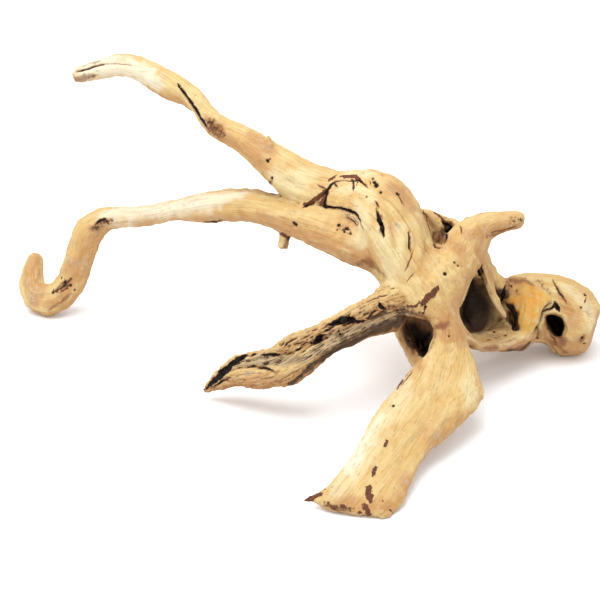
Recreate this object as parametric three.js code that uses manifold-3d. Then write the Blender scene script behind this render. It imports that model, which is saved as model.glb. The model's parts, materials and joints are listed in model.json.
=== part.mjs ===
// A spiderwood root: the bleached, many-limbed root of an azalea, as sold for aquascapes and terrariums.
// It is one piece of wood. Strands of root run together into a gnarled trunk; limbs, a broad foot and a
// hollow sawn block grow out of it. Millimetres, +Z up, resting on z = 0.
import * as THREE from "three";
import { mergeVertices } from "three/addons/utils/BufferGeometryUtils.js";
import Module from "manifold-3d";

const wasm = await Module();
wasm.setup();

// The root was measured from one point of view, so its places are given as that view sees them: across
// (to the right), rise (up the picture) and near (towards the viewer), with the middle of the view at 0.
const VIEW_DROP = THREE.MathUtils.degToRad(30); // how far the line of sight looks down
const VIEW_DISTANCE = 1500; // from the viewer to the middle of the view
const MIDDLE = new THREE.Vector3(-4, 19.8, 67); // the middle of the view in the root's own frame
const RING_STEP = 9; // spacing of the rings along a strand
const TRIM_SIZE = 900; // side of the block that trims the three resting spots flat
const MERGE_WITHIN = 1e-4; // vertices closer than this are one
const TANGENT_STEP = 1e-3; // share of a strand's length over which its direction is taken
const POCKET_LEVELS = 3; // levels from the mouth of a pocket to its bottom
const SLIT_NARROWING = 0.35; // width of a slit's bottom as a share of its mouth

// A place as seen from the measuring point, as a point in the root's own frame.
function placed(across, rise, near) {
  const closer = 1 - near / VIEW_DISTANCE;
  return new THREE.Vector3(
    across * closer,
    rise * closer * Math.sin(VIEW_DROP) - near * Math.cos(VIEW_DROP),
    rise * closer * Math.cos(VIEW_DROP) + near * Math.sin(VIEW_DROP),
  ).add(MIDDLE);
}

// A closed geometry as a solid, with its shared vertices merged.
function solidOf(geometry) {
  const bare = new THREE.BufferGeometry();
  bare.setAttribute("position", geometry.getAttribute("position"));
  bare.setIndex(geometry.getIndex());
  const merged = mergeVertices(bare, MERGE_WITHIN);
  return new wasm.Manifold(
    new wasm.Mesh({
      numProp: 3,
      vertProperties: new Float32Array(merged.getAttribute("position").array),
      triVerts: new Uint32Array(merged.getIndex().array),
    }),
  );
}

// Joins rings of points, all of one length, into a closed skin with a fan over each end.
function skin(rings) {
  const sides = rings[0].length;
  const points = rings.flat();
  const faces = [];
  for (let ring = 0; ring < rings.length - 1; ring++) {
    for (let side = 0; side < sides; side++) {
      const next = (side + 1) % sides;
      const [a, b] = [ring * sides + side, ring * sides + next];
      const [c, d] = [a + sides, b + sides];
      faces.push(a, b, d, a, d, c);
    }
  }
  for (const [ring, flip] of [[0, true], [rings.length - 1, false]]) {
    const middle = points.length;
    const sum = rings[ring].reduce((all, p) => all.add(p), new THREE.Vector3());
    points.push(sum.divideScalar(sides));
    for (let side = 0; side < sides; side++) {
      const [a, b] = [ring * sides + side, ring * sides + ((side + 1) % sides)];
      faces.push(...(flip ? [middle, b, a] : [middle, a, b]));
    }
  }
  const geometry = new THREE.BufferGeometry().setFromPoints(points);
  geometry.setIndex(faces);
  return solidOf(geometry);
}

// Values between the rows of a table, on a smooth curve through them. Column 0 to 2 are a place.
function between(rows, share) {
  const column = (first) =>
    new THREE.CatmullRomCurve3(
      rows.map((row) => new THREE.Vector3(row[first] ?? 0, row[first + 1] ?? 0, row[first + 2] ?? 0)),
      false,
      "catmullrom",
      0.5,
    ).getPoint(share);
  return { place: column(0), size: column(3) };
}

// The shares of the way along a table of rows at which a strand gets its rings.
function ringShares(rows) {
  const shares = [0];
  for (let row = 1; row < rows.length; row++) {
    const [from, to] = [rows[row - 1], rows[row]].map((r) => new THREE.Vector3(...r.slice(0, 3)));
    const count = Math.max(1, Math.round(from.distanceTo(to) / RING_STEP));
    for (let part = 1; part <= count; part++) {
      shares.push((row - 1 + part / count) / (rows.length - 1));
    }
  }
  return shares;
}

// A strand of root along rows of [across, rise, near, half width, half depth].
// Flutes are ridges along it: [how many round it, how high as a share of its radius, turns over its length].
function strand(rows, { sides = 12, flutes = [] } = {}) {
  const toViewer = new THREE.Vector3(0, 0, 1);
  const rings = ringShares(rows).map((share) => {
    const { place, size } = between(rows, share);
    const ahead = between(rows, Math.min(1, share + TANGENT_STEP)).place;
    const behind = between(rows, Math.max(0, share - TANGENT_STEP)).place;
    const along = ahead.sub(behind).normalize();
    const deep = toViewer.clone().addScaledVector(along, -toViewer.dot(along)).normalize();
    const wide = new THREE.Vector3().crossVectors(deep, along);
    return Array.from({ length: sides }, (_, side) => {
      const angle = (side / sides) * 2 * Math.PI;
      const ridge = flutes.reduce(
        (sum, [count, height, turns]) => sum + height * Math.cos(count * angle + turns * 2 * Math.PI * share),
        1,
      );
      return place
        .clone()
        .addScaledVector(wide, size.x * ridge * Math.cos(angle))
        .addScaledVector(deep, size.y * ridge * Math.sin(angle));
    });
  });
  return skin(rings);
}

// A slab of root between two edges, each a list of [across, rise, near]. Half thickness and arch are the
// slab's own at each pair of edge points; the arch lifts its middle towards the viewer.
function slab(pairs, { sides = 20, squareness = 0.75 } = {}) {
  const rows = pairs.map(([left, right, thick, arch]) => [
    ...left.map((value, axis) => (value + right[axis]) / 2),
    thick,
    arch,
  ]);
  const halves = pairs.map(([left, right]) => left.map((value, axis) => (right[axis] - value) / 2));
  const rings = ringShares(rows).map((share) => {
    const { place, size } = between(rows, share);
    const wide = between(halves, share).place;
    const along = between(rows, Math.min(1, share + TANGENT_STEP)).place.sub(
      between(rows, Math.max(0, share - TANGENT_STEP)).place,
    );
    const out = new THREE.Vector3().crossVectors(wide, along).normalize();
    if (out.z < 0) out.negate();
    return Array.from({ length: sides }, (_, side) => {
      const angle = (side / sides) * 2 * Math.PI;
      const [c, s] = [Math.cos(angle), Math.sin(angle)];
      const flat = Math.sign(s) * Math.abs(s) ** squareness;
      const span = Math.sign(c) * Math.abs(c) ** squareness;
      return place
        .clone()
        .addScaledVector(wide, span)
        .addScaledVector(out, size.x * flat + size.y * (1 - span * span));
    });
  });
  return skin(rings);
}

// A pocket cut along the line of sight: an outline of [across, rise] from one near value back to another,
// narrowing to a share of its size at the back.
function pocket(outline, front, back, narrow = 0.5, [shiftAcross, shiftRise] = [0, 0]) {
  const middle = outline
    .reduce((sum, [a, r]) => sum.add(new THREE.Vector2(a, r)), new THREE.Vector2())
    .divideScalar(outline.length);
  const rings = Array.from({ length: POCKET_LEVELS + 1 }, (_, level) => {
    const share = level / POCKET_LEVELS;
    const size = 1 - (1 - narrow) * share * share;
    return outline.map(
      ([a, r]) =>
        new THREE.Vector3(
          middle.x + (a - middle.x) * size + shiftAcross * share,
          middle.y + (r - middle.y) * size + shiftRise * share,
          front + (back - front) * share,
        ),
    );
  });
  const area = outline.reduce((sum, [a, r], i) => {
    const [b, t] = outline[(i + 1) % outline.length];
    return sum + a * t - b * r;
  }, 0);
  return skin(area > 0 ? rings.map((ring) => ring.reverse()) : rings);
}

// A slit: a pocket along a line of [across, rise, half width].
function slit(line, front, back) {
  const side = (sign) =>
    line.map(([a, r, half], i) => {
      const [from, to] = [line[Math.max(0, i - 1)], line[Math.min(line.length - 1, i + 1)]];
      const run = new THREE.Vector2(to[0] - from[0], to[1] - from[1]).normalize();
      return [a - sign * run.y * half, r + sign * run.x * half];
    });
  return pocket([...side(1), ...side(-1).reverse()], front, back, SLIT_NARROWING);
}

// The upper limb, from its split tip down to where it runs into the trunk, with a small knob on its back.
function upperLimb() {
  const limb = strand(
    [
      [-159, 155.5, -40, 3.6, 4],
      [-155, 157, -40, 6.2, 6],
      [-147, 159, -40, 7.6, 7],
      [-135, 162.5, -39, 8.6, 8],
      [-121, 164.6, -38, 8.7, 9],
      [-108, 159.8, -36, 9.7, 9.5],
      [-97.5, 153.5, -33, 10.3, 10],
      [-87, 148, -31, 9.9, 9.5],
      [-77, 142.3, -29, 8.8, 9.5],
      [-68.5, 134.5, -27, 7.8, 9],
      [-61.5, 125, -25, 8.1, 9],
      [-52, 118, -22, 9.8, 10],
      [-41.5, 113.4, -20, 10.2, 10.5],
      [-30.5, 105.8, -18, 12, 11.5],
      [-20, 97.5, -16, 13.6, 12.5],
      [-10, 88.8, -14, 15.8, 14],
      [4, 80.5, -11, 15, 15],
      [20, 75, -6, 14.5, 14],
      [34, 68, -2, 10, 10],
    ],
    { sides: 12, flutes: [[3, 0.06, 1.3], [2, 0.05, -0.8]] },
  );
  const knob = strand([[-21, 108, -11, 4.4, 4.4], [-21.8, 114, -11, 3.4, 3.4], [-22, 117, -11, 1.8, 1.8]], {
    sides: 8,
  });
  return [limb, knob];
}

// The middle limb, from the tip of its hook to where it dives under the trunk, with the peg that it bears.
function middleLimb() {
  const limb = strand(
    [
      [-184.5, 33.5, -127, 3, 3],
      [-185.5, 30, -126, 6.2, 6],
      [-187.5, 21, -123, 8.1, 8],
      [-188.6, 10.5, -118, 8.6, 9],
      [-185, 2.5, -113.5, 10.5, 10],
      [-176.5, -0.8, -111, 11.6, 11],
      [-167.5, 3.6, -109, 10.8, 10.5],
      [-159.5, 13, -105, 11, 10.5],
      [-155.2, 25, -100, 10.8, 10.5],
      [-151.5, 37, -95, 11.3, 10.5],
      [-146.5, 49, -90, 11.8, 11],
      [-137, 57, -86, 9.5, 10],
      [-127, 58.3, -81, 8.2, 9],
      [-114, 58.2, -75, 8, 8.5],
      [-100, 59.7, -69, 7.6, 8.5],
      [-89, 62.6, -63, 8.7, 9],
      [-78, 64.2, -57, 10.1, 10],
      [-64, 65.4, -49, 11.7, 11],
      [-48, 66.5, -41, 11.6, 12],
      [-33, 65.7, -32, 11.9, 12.5],
      [-18, 61.8, -23, 12.2, 13],
      [-3, 57, -14, 13, 14],
      [12, 52, -5, 14, 15],
      [27, 45.5, 2, 15.5, 16],
      [42, 39.5, 6, 17, 17],
      [54, 33, 6, 14, 15],
      [63, 27, 4, 9, 10],
    ],
    { sides: 12, flutes: [[3, 0.05, 2.2], [2, 0.05, 1.1]] },
  );
  const peg = strand([[-9, 54, -20, 5, 5], [-10.5, 46, -21, 4.7, 4.5], [-12, 36, -22, 3.9, 3.8]], {
    sides: 8,
  });
  return [limb, peg];
}

// The weathered limb: a core with a worn crest along its top and a fibrous belly under it.
function weatheredLimb() {
  const core = strand(
    [
      [-67.5, -64, -9, 2, 2.5],
      [-64, -61.5, -8, 4, 4],
      [-57.5, -57, -5, 6.6, 6],
      [-50, -51.5, -1, 8.4, 8],
      [-40, -48, 4, 10.6, 9],
      [-28, -47, 10, 12, 9],
      [-15, -45, 15, 12.6, 10],
      [-4, -39.5, 20, 12.6, 10],
      [8, -31.8, 24, 11, 10],
      [20.5, -25, 26, 10, 10],
      [33, -18.7, 27, 10, 10],
      [46, -11.7, 26, 11, 11],
      [58, -5, 22, 13, 12],
      [70, 4, 14, 15, 13],
      [80, 12, 6, 10, 10],
    ],
    { sides: 12, flutes: [[3, 0.07, -0.5]] },
  );
  const crest = strand(
    [
      [78, 0, 17, 5, 5],
      [69, 0, 24, 6.2, 6],
      [58, -1.5, 30, 6.4, 6],
      [46, -5.5, 33, 6.6, 6.4],
      [32, -11.5, 34, 5.8, 6],
      [18, -19.5, 33, 5.8, 6],
      [5, -26, 31, 6.4, 6.2],
      [-8, -31, 28, 6.2, 6],
      [-17, -36.5, 23, 4, 4.4],
    ],
    { sides: 8, flutes: [[2, 0.12, 1.4]] },
  );
  const farCrest = strand(
    [
      [-6, -36, 24, 4, 4],
      [-16, -39, 21, 6, 5.4],
      [-28, -40.5, 17, 6.4, 5.6],
      [-40, -42.5, 11, 6.6, 5.2],
      [-51, -49, 4, 6, 5],
      [-60, -56.5, -2, 4.4, 4],
      [-66, -62, -7, 2.4, 2.4],
    ],
    { sides: 8, flutes: [[2, 0.1, 1]] },
  );
  const belly = strand(
    [
      [74, -11, 12, 5, 6],
      [66, -15, 20, 6.8, 7],
      [57, -17.5, 26, 7, 7],
      [46, -20.5, 30, 6.8, 7],
      [33, -26.8, 31, 6.6, 7],
      [20, -31.8, 31, 7.2, 7],
      [8, -41, 29, 7.6, 7.6],
      [-4, -51.5, 26, 8, 8],
      [-18, -53.4, 21, 8.2, 8],
      [-33, -54.2, 14, 7.2, 7],
      [-46, -53.6, 7, 6.2, 6],
      [-57, -58.5, 0, 5, 4.6],
    ],
    { sides: 12, flutes: [[4, 0.1, 1.2]] },
  );
  return [core, crest, farCrest, belly];
}

// The trunk: a shoulder that comes over from the upper limb, a cut-off branch that bends in from the right,
// the broad face in which both end, the strands behind them and the leg that closes the cavity below.
function trunk() {
  const shoulder = strand(
    [
      [14, 74, -6, 9, 10],
      [24, 74, -4, 15, 15],
      [38, 71.5, 0, 19.5, 19],
      [51, 67, 4, 24.5, 22],
      [61, 55, 7, 25.5, 24],
      [68, 38, 9, 24, 24],
      [75, 20, 9, 20.5, 22.5],
      [80, 4, 8, 16, 19],
    ],
    { sides: 20, flutes: [[5, 0.045, 0.5], [3, 0.03, 0.2]] },
  );
  const cutBranch = strand(
    [
      [158, 54.2, -16.4, 3, 3],
      [156.4, 54.8, -16.2, 5.8, 5.8],
      [151, 56, -15, 7.4, 7.6],
      [140, 54.5, -13, 8.2, 9],
      [130, 51.5, -10, 10, 11],
      [121, 45, -6, 14.5, 14],
      [112, 32, 2, 16.5, 17],
      [104, 16, 8, 16, 19],
      [98, 2, 10, 15, 18],
    ],
    { sides: 14, flutes: [[3, 0.04, 0.5]] },
  );
  const face = slab(
    [
      [[62, 46, 0], [120, 45, -8], 11, 2],
      [[57.5, 30, 6], [125.5, 30, -5], 17, 4],
      [[59, 15, 10], [121.5, 14, 0], 18, 6],
      [[60.5, 3, 14], [115.5, 2, 8], 17, 6],
      [[64.5, -6, 18], [112.5, -8, 13], 13, 4],
      [[71, -12.5, 21], [112, -17, 15], 7, 2.5],
    ],
    { sides: 20, squareness: 0.9 },
  );
  const backRidge = strand(
    [
      [70, 54, -18, 12, 9],
      [84, 57, -25, 8.5, 8],
      [96, 55, -27, 7.6, 7],
      [106, 51, -24, 7, 7],
      [117, 46, -16, 7, 7],
    ],
    { sides: 10 },
  );
  const pocketFloor = strand(
    [
      [76, 58, -24, 9, 8],
      [87, 50, -23, 12, 8],
      [99, 41, -22, 12, 8],
      [110, 30, -18, 10, 8],
    ],
    { sides: 10 },
  );
  const heart = strand(
    [
      [46, 66, -13, 10, 10],
      [60, 56, -16, 15, 13],
      [78, 41, -19, 17, 15],
      [93, 23, -21, 15.5, 15],
      [101, 6, -22, 12, 13],
      [104, -8, -20, 8, 9],
    ],
    { sides: 12 },
  );
  const backStrand = strand(
    [
      [2, 84, -16, 12, 11],
      [22, 76, -24, 15, 13],
      [44, 66, -30, 18, 14],
      [64, 50, -34, 20, 15],
      [84, 32, -38, 19, 15],
      [104, 14, -44, 18, 14],
      [124, 2, -52, 18, 13],
      [146, -4, -60, 20, 15],
      [166, -8, -62, 18, 14],
    ],
    { sides: 12, flutes: [[3, 0.1, 0.8]] },
  );
  const backWall = strand(
    [
      [106, -8, -30, 10, 9],
      [116, -14, -42, 11, 8],
      [128, -18, -51, 12, 8],
      [141, -18, -56, 12.5, 9],
      [155, -15, -60, 13, 10],
    ],
    { sides: 12, flutes: [[3, 0.06, 0.5]] },
  );
  const leg = strand(
    [
      [92, 12, -30, 15, 12],
      [83, -6, -20, 15, 9],
      [81, -22, -12, 14.5, 7],
      [82.5, -34, -3, 11, 6],
      [85, -43, 9, 8.5, 6],
      [89, -51, 18, 7, 5.5],
    ],
    { sides: 12, flutes: [[2, 0.08, 0.4]] },
  );
  return [shoulder, cutBranch, face, backRidge, pocketFloor, heart, backStrand, backWall, leg];
}

// The foot: a broad, slightly arched board of root that widens and then narrows down to its worn toe.
function foot() {
  const board = slab(
    [
      [[90, 0, 14], [112, 3, 10], 11, 0],
      [[92, -15, 19], [113, -12, 14], 9, 1],
      [[92, -28, 21], [117, -26, 14], 7.5, 2],
      [[84, -40, 26], [122, -38, 17], 6, 3],
      [[74, -52, 34], [126, -53, 22], 5, 4],
      [[63, -64, 43], [130, -65, 30], 5, 5],
      [[53, -77, 54], [124, -77, 41], 5, 5],
      [[45, -91.5, 66], [109.5, -91.5, 54], 5, 5],
      [[37, -106, 78], [94.5, -104.5, 68], 5, 4.5],
      [[27.5, -119.5, 89], [84.5, -117, 81], 4.8, 4],
      [[17, -131, 98], [78.5, -130, 93], 4.4, 3],
      [[8, -136.5, 103], [73, -141.5, 103], 4, 2],
      [[1, -140.5, 105.5], [65, -152, 110], 3, 1],
    ],
    { sides: 18 },
  );
  const toe = strand(
    [
      [7, -140, 104, 1.6, 2],
      [16, -143.5, 106, 4, 4],
      [30, -146, 108.5, 4.2, 4.4],
      [45, -148.5, 110.5, 4.4, 4.4],
      [58, -150.5, 111.5, 4, 4],
      [65, -150.5, 111, 2, 2.4],
    ],
    { sides: 8 },
  );
  return [board, toe];
}

// The hollow block on the right with its sawn end, and the rims and strips that frame the great hollow.
function block() {
  const body = strand(
    [
      [136, -8, -58, 20, 17],
      [150, -7.5, -58, 24, 21],
      [165, -5, -58, 24.5, 22],
      [179, -10, -58, 27, 24],
      [193, -16, -57.5, 25, 24],
      [205.5, -20.5, -57, 18, 20.5],
    ],
    { sides: 18, flutes: [[3, 0.04, 0.3]] },
  );
  const rim = strand(
    [
      [106, -16, 10, 7, 8],
      [114, -25, 4, 6, 8],
      [121, -30.5, -3, 4.6, 8],
      [130, -32.5, -12, 3.7, 8],
      [141, -31.5, -24, 4.6, 9],
      [151, -28, -34, 5.6, 10],
      [163, -24, -42, 6, 10],
    ],
    { sides: 12 },
  );
  const rimUnderside = strand(
    [
      [134, -30, -30, 5, 6],
      [146, -33, -38, 4.2, 7],
      [156, -32, -44, 4.6, 7],
      [166, -26, -50, 6, 7],
    ],
    { sides: 10 },
  );
  const strip = strand(
    [
      [121, 40, -8, 7, 8],
      [127, 29, -12, 4.2, 8],
      [130.5, 18, -15, 3.6, 8],
      [133.5, 7, -17, 3.2, 7],
      [138, -3, -20, 3, 6],
      [143, -10, -24, 2.6, 4],
      [146.5, -14.5, -27, 1.4, 2],
    ],
    { sides: 10 },
  );
  const saddle = strand(
    [
      [122, 36, -16, 8, 8],
      [130.5, 20, -24, 7, 7],
      [142, 8, -32, 8, 7],
      [156, 5, -38, 12, 8],
    ],
    { sides: 10 },
  );
  const flap = slab(
    [
      [[145, 16, -40], [158, 16, -38], 5, 0],
      [[145, 9, -36], [171, 9, -36], 4, 1],
      [[147, 0, -33], [177, 0, -31], 3, 2],
      [[150, -9, -30], [171, -7, -28], 2.6, 2],
      [[152, -17, -29], [169, -16, -27], 2.4, 2],
      [[154, -23, -31], [164, -22, -29], 2.2, 0.5],
    ],
    { sides: 14 },
  );
  return [body, rim, rimUnderside, strip, saddle, flap];
}

// The hollows that the root encloses.
function hollows() {
  const greatHollow = pocket(
    [[127, 21], [130, 13], [132.5, 4], [137, -5], [143, -12], [149, -19], [144, -25.5], [137, -27.5],
     [128, -28.5], [120, -24.5], [113, -15.5], [110, -9], [114, -1], [117, 8], [120, 16]],
    24, -42, 0.8,
  );
  const slotBesideFlap = pocket(
    [[144.5, -4], [148, -7], [150.5, -11], [151.5, -20], [148, -21.5], [145, -13]],
    0, -46, 0.8,
  );
  const valleyHole = pocket(
    [[143.8, 9], [144, 3], [142, -2], [139.4, -1], [139.5, 2.5], [142, 6]],
    0, -40, 0.6,
  );
  const blockHollow = pocket(
    [[171, -8], [176, -8.5], [181, -11], [184.5, -15], [185, -21], [184, -26.5], [181, -27], [176, -21.5],
     [172.5, -16], [170.5, -12]],
    -20, -70, 0.8,
  );
  const bowlUnderFlap = pocket(
    [[165, -25], [169, -17], [172, -9], [178, -8.5], [185, -12], [187, -21], [185, -29], [177, -31]],
    -30, -43, 0.55, [2, 2],
  );
  const blockPit = pocket(
    [[177, -1], [180, -2], [182.5, -5], [181, -7.5], [178, -7], [176.5, -4]],
    -20, -46, 0.6,
  );
  const archUnderRim = pocket(
    [[158, -37], [162.5, -28.5], [168, -28], [172, -29.6], [175, -32.4], [176.6, -37], [177, -46], [157, -46]],
    -26, -100, 1,
  );
  const cavityUnderTrunk = pocket(
    [[71, -12], [80, -13.5], [90, -18], [93.5, -22], [93.5, -28], [89, -36], [84, -42], [80, -36], [75, -25]],
    40, -12, 0.8, [0, 6],
  );
  const backHole = pocket([[100, 54], [105, 53.5], [107, 50], [103, 45], [100, 49]], 10, -24, 0.6);
  const pocketBehindShoulder = pocket(
    [[84, 63], [91, 60], [99, 54], [101, 45], [99, 36.5], [94, 36], [92, 45], [88, 54]],
    16, -19, 0.85,
  );
  return [
    greatHollow, slotBesideFlap, valleyHole, bowlUnderFlap, blockHollow, blockPit, archUnderRim,
    cavityUnderTrunk, backHole, pocketBehindShoulder,
  ];
}

// The knob of old wood that is left standing on the floor of the great hollow.
function hollowKnob() {
  return strand(
    [
      [119, -28, -20, 5, 7],
      [129, -27, -27, 6.5, 8],
      [138, -24, -33, 8, 8.5],
      [147, -21, -40, 8.5, 9],
    ],
    { sides: 9, flutes: [[3, 0.08, 0.6]] },
  );
}

// The cracks and rot pockets that show from a step away. Each is a line, and how far in front of the middle
// of the view its cut starts and ends.
function cracks() {
  const onTrunk = [
    slit([[17, 65.5, 0.8], [24, 64.6, 1.2], [31, 63.4, 1.4], [37, 61.5, 1.3], [42.5, 54, 0.5]], 40, 4),
    slit([[53.8, 62, 0.6], [55.3, 56, 1.4], [57.6, 50.5, 1.9], [58.4, 45.5, 0.8]], 50, 16),
    slit([[76.4, 47.5, 0.6], [77, 43, 1.3], [76.7, 36, 0.7]], 50, 22),
    slit([[20, 84, 1], [22, 81, 1.4], [17, 73.5, 2.4], [16, 67, 2]], 30, 8),
    slit([[23, 84.5, 0.8], [30, 86.6, 1.6], [38, 86.6, 1.7], [42, 83.5, 1], [46, 80.2, 0.6]], 40, 11),
  ];
  const onUpperLimb = [
    slit([[-85, 150, 0.8], [-80.5, 144, 1.1], [-75, 133.5, 1.2], [-67.5, 121.5, 0.7]], 0, -26),
    slit([[-157, 163.5, 1.2], [-150, 162.6, 0.9], [-143, 165.4, 0.5]], -20, -60),
  ];
  const onWeatheredLimb = [
    slit([[19, -17.3, 0.7], [25, -15.6, 1.8], [32, -14, 2.1], [37, -14.2, 1]], 60, 28),
    slit([[33.5, -17, 0.7], [39, -15.6, 1.2], [44.5, -15.3, 0.7]], 60, 29),
    slit([[17.5, -24.8, 1], [13.5, -26.5, 2.2], [9.5, -29, 1]], 60, 28),
    slit([[-26, -38.2, 0.7], [-20, -38, 2], [-14, -38.4, 0.8]], 60, 18),
    slit([[-31.5, -37.6, 0.7], [-38, -38.6, 1.7], [-45, -43, 2.4], [-51, -49, 2]], 60, 9),
    slit([[-50, -54, 1.2], [-57, -56.5, 2.1], [-65, -61, 1.4]], 60, -3),
  ];
  return [...onTrunk, ...onUpperLimb, ...onWeatheredLimb];
}

const pieces = [upperLimb(), middleLimb(), weatheredLimb(), trunk(), foot(), block()].flat();
const grown = pieces.reduce((all, piece) => all.add(piece));
const hollowed = [...hollows(), ...cracks()].reduce((all, cut) => all.subtract(cut), grown).add(hollowKnob());

// The same solid with each vertex where it lies in the root's own frame.
function inOwnFrame(solid) {
  const mesh = solid.getMesh();
  const points = [];
  for (let v = 0; v < mesh.numVert; v++) {
    points.push(placed(...mesh.vertProperties.subarray(v * mesh.numProp, v * mesh.numProp + 3)));
  }
  const geometry = new THREE.BufferGeometry().setFromPoints(points);
  geometry.setIndex([...mesh.triVerts]);
  return solidOf(geometry);
}

// The largest body of a solid: sealed gaps between the strands and loose scraps are left out.
function largestBody(solid) {
  return solid.decompose().reduce((best, body) => (body.volume() > best.volume() ? body : best));
}

// What lies under the floor is trimmed away, which leaves flat resting spots.
const belowFloor = new THREE.BoxGeometry(TRIM_SIZE, TRIM_SIZE, TRIM_SIZE).translate(0, 0, -TRIM_SIZE / 2);
belowFloor.deleteAttribute("normal");
belowFloor.deleteAttribute("uv");
const rootSolid = largestBody(inOwnFrame(hollowed).subtract(solidOf(belowFloor)));

function meshOf(solid, name, material) {
  const mesh = solid.getMesh();
  const geometry = new THREE.BufferGeometry();
  const positions = new Float32Array(mesh.numVert * 3);
  for (let v = 0; v < mesh.numVert; v++) {
    positions.set(mesh.vertProperties.subarray(v * mesh.numProp, v * mesh.numProp + 3), v * 3);
  }
  geometry.setAttribute("position", new THREE.BufferAttribute(positions, 3));
  geometry.setIndex(new THREE.BufferAttribute(mesh.triVerts, 1));
  geometry.computeVertexNormals();
  const made = new THREE.Mesh(geometry, material);
  made.name = name;
  return made;
}

const bleachedWood = new THREE.MeshStandardMaterial({ color: 0xdfbf83, roughness: 0.75, metalness: 0 });

const root = new THREE.Group();
root.add(meshOf(rootSolid, "spiderwood_root", bleachedWood));

export default root;
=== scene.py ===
"""A bleached spiderwood root on a pale floor: its grain, ridges, cracks, worm holes and scraps of bark."""

import json
import math

import bpy
import numpy as np
from bpy.props import FloatProperty, FloatVectorProperty, IntProperty, PointerProperty
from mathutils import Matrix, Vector
from mathutils.bvhtree import BVHTree
from mathutils.kdtree import KDTree

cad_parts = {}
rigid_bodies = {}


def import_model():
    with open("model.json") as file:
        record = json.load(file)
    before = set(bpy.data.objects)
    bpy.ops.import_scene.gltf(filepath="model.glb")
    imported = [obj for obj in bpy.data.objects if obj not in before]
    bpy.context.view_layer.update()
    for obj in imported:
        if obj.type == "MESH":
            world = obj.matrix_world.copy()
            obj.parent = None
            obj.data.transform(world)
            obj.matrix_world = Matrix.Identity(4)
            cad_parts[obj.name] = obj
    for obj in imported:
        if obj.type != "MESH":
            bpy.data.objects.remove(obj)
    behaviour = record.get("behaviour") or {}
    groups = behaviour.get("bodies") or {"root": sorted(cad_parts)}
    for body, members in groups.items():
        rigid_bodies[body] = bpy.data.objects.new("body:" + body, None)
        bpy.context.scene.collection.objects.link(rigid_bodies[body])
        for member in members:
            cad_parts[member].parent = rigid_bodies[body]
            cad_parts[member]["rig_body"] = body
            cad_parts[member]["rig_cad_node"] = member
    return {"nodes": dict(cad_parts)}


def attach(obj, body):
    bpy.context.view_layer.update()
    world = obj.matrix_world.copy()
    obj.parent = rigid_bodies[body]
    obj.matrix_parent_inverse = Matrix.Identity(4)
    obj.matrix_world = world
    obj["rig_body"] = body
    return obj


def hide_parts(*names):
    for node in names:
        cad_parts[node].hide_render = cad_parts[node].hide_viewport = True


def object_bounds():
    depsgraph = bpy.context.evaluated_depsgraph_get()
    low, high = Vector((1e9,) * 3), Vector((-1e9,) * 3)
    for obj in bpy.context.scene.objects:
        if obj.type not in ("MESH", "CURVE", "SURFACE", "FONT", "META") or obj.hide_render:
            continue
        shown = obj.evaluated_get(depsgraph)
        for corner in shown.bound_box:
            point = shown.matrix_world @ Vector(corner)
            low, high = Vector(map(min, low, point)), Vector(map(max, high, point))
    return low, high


bl_info = {
    "name": "Spiderwood Root",
    "version": (1, 0, 0),
    "blender": (4, 5, 0),
    "location": "3D Viewport > Sidebar > Root",
    "description": "A bleached spiderwood root with grain, cracks and bark scraps, on a pale floor",
    "category": "Add Mesh",
}

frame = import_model()
CAD_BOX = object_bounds()

# Lengths are in millimetres, but for those of the light and the camera's range, which are in metres.
MM = 0.001
VIEW_DROP = math.radians(30)
VIEW_DISTANCE = 1500.0
VIEW_MIDDLE = np.array([-4.0, 19.8, 67.0])
VIEW_WIDTH = 420.0
SEED = 71
MARK_SPACING = 0.5
# Way towards the key light. The wood's colour is painted paler on tops turned to it and darker on sides
# turned from it: painted highlight and painted shade.
TOWARDS_PAINTED_LIGHT = np.array([-0.34, -0.1, 0.93])
OPEN_EVERY = 6
OPEN_RAYS = 24
OPEN_REACH = 45.0
OPEN_LIFT = 0.6
EDGE_WOBBLE = 0.35
PIT_EDGE = 0.25
LEAST_CUT = 0.8
WELD = 0.01
VIEW_TOLERANCE = 2.5
TABLE_CLEARANCE = 1.5
TABLE_DROP = 0.05
SENSOR_WIDTH = 36.0
WOOD_ROUGHNESS = 0.6
BARK_ROUGHNESS = 0.85
WOOD_SHINE = 0.2
BUMP_HEIGHT = 0.8
TABLE_ROUGHNESS = 0.9
CLOUD_SHADE = 0.995
LIGHT_PLACE = (-0.3, -0.05, 1.3)
LIGHT_AIM = (0, 0, 0.05)
CAMERA_NEAR, CAMERA_FAR = 0.05, 50
CELLS_A_SIDE = 4096
FIRST_CELL = 1024

# How many passes of relaxing even out each thing.
FILLING_PASSES = 8
SKIN_PASSES = 3
STEADY_PASSES = 3
FINE_PASSES = 6
BROAD_PASSES = 60
LIGHT_FACING_PASSES = 12
OPEN_PASSES = 4

# Marks strewn where the photo does not show: how many, lengths, half widths and depths. The last number
# is the share of them that may lie in view.
STREWN_CRACKS = (64, (6, 28), (0.25, 0.6), (0.4, 1.4))
STREWN_PITS = (76, (0.4, 1.6), (0.5, 1.0), (0.6, 1.5))
STREWN_BARK = (26, (2, 14), (0.8, 2.4), (0, 0))
SEEN_SHARE = 0.0

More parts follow.
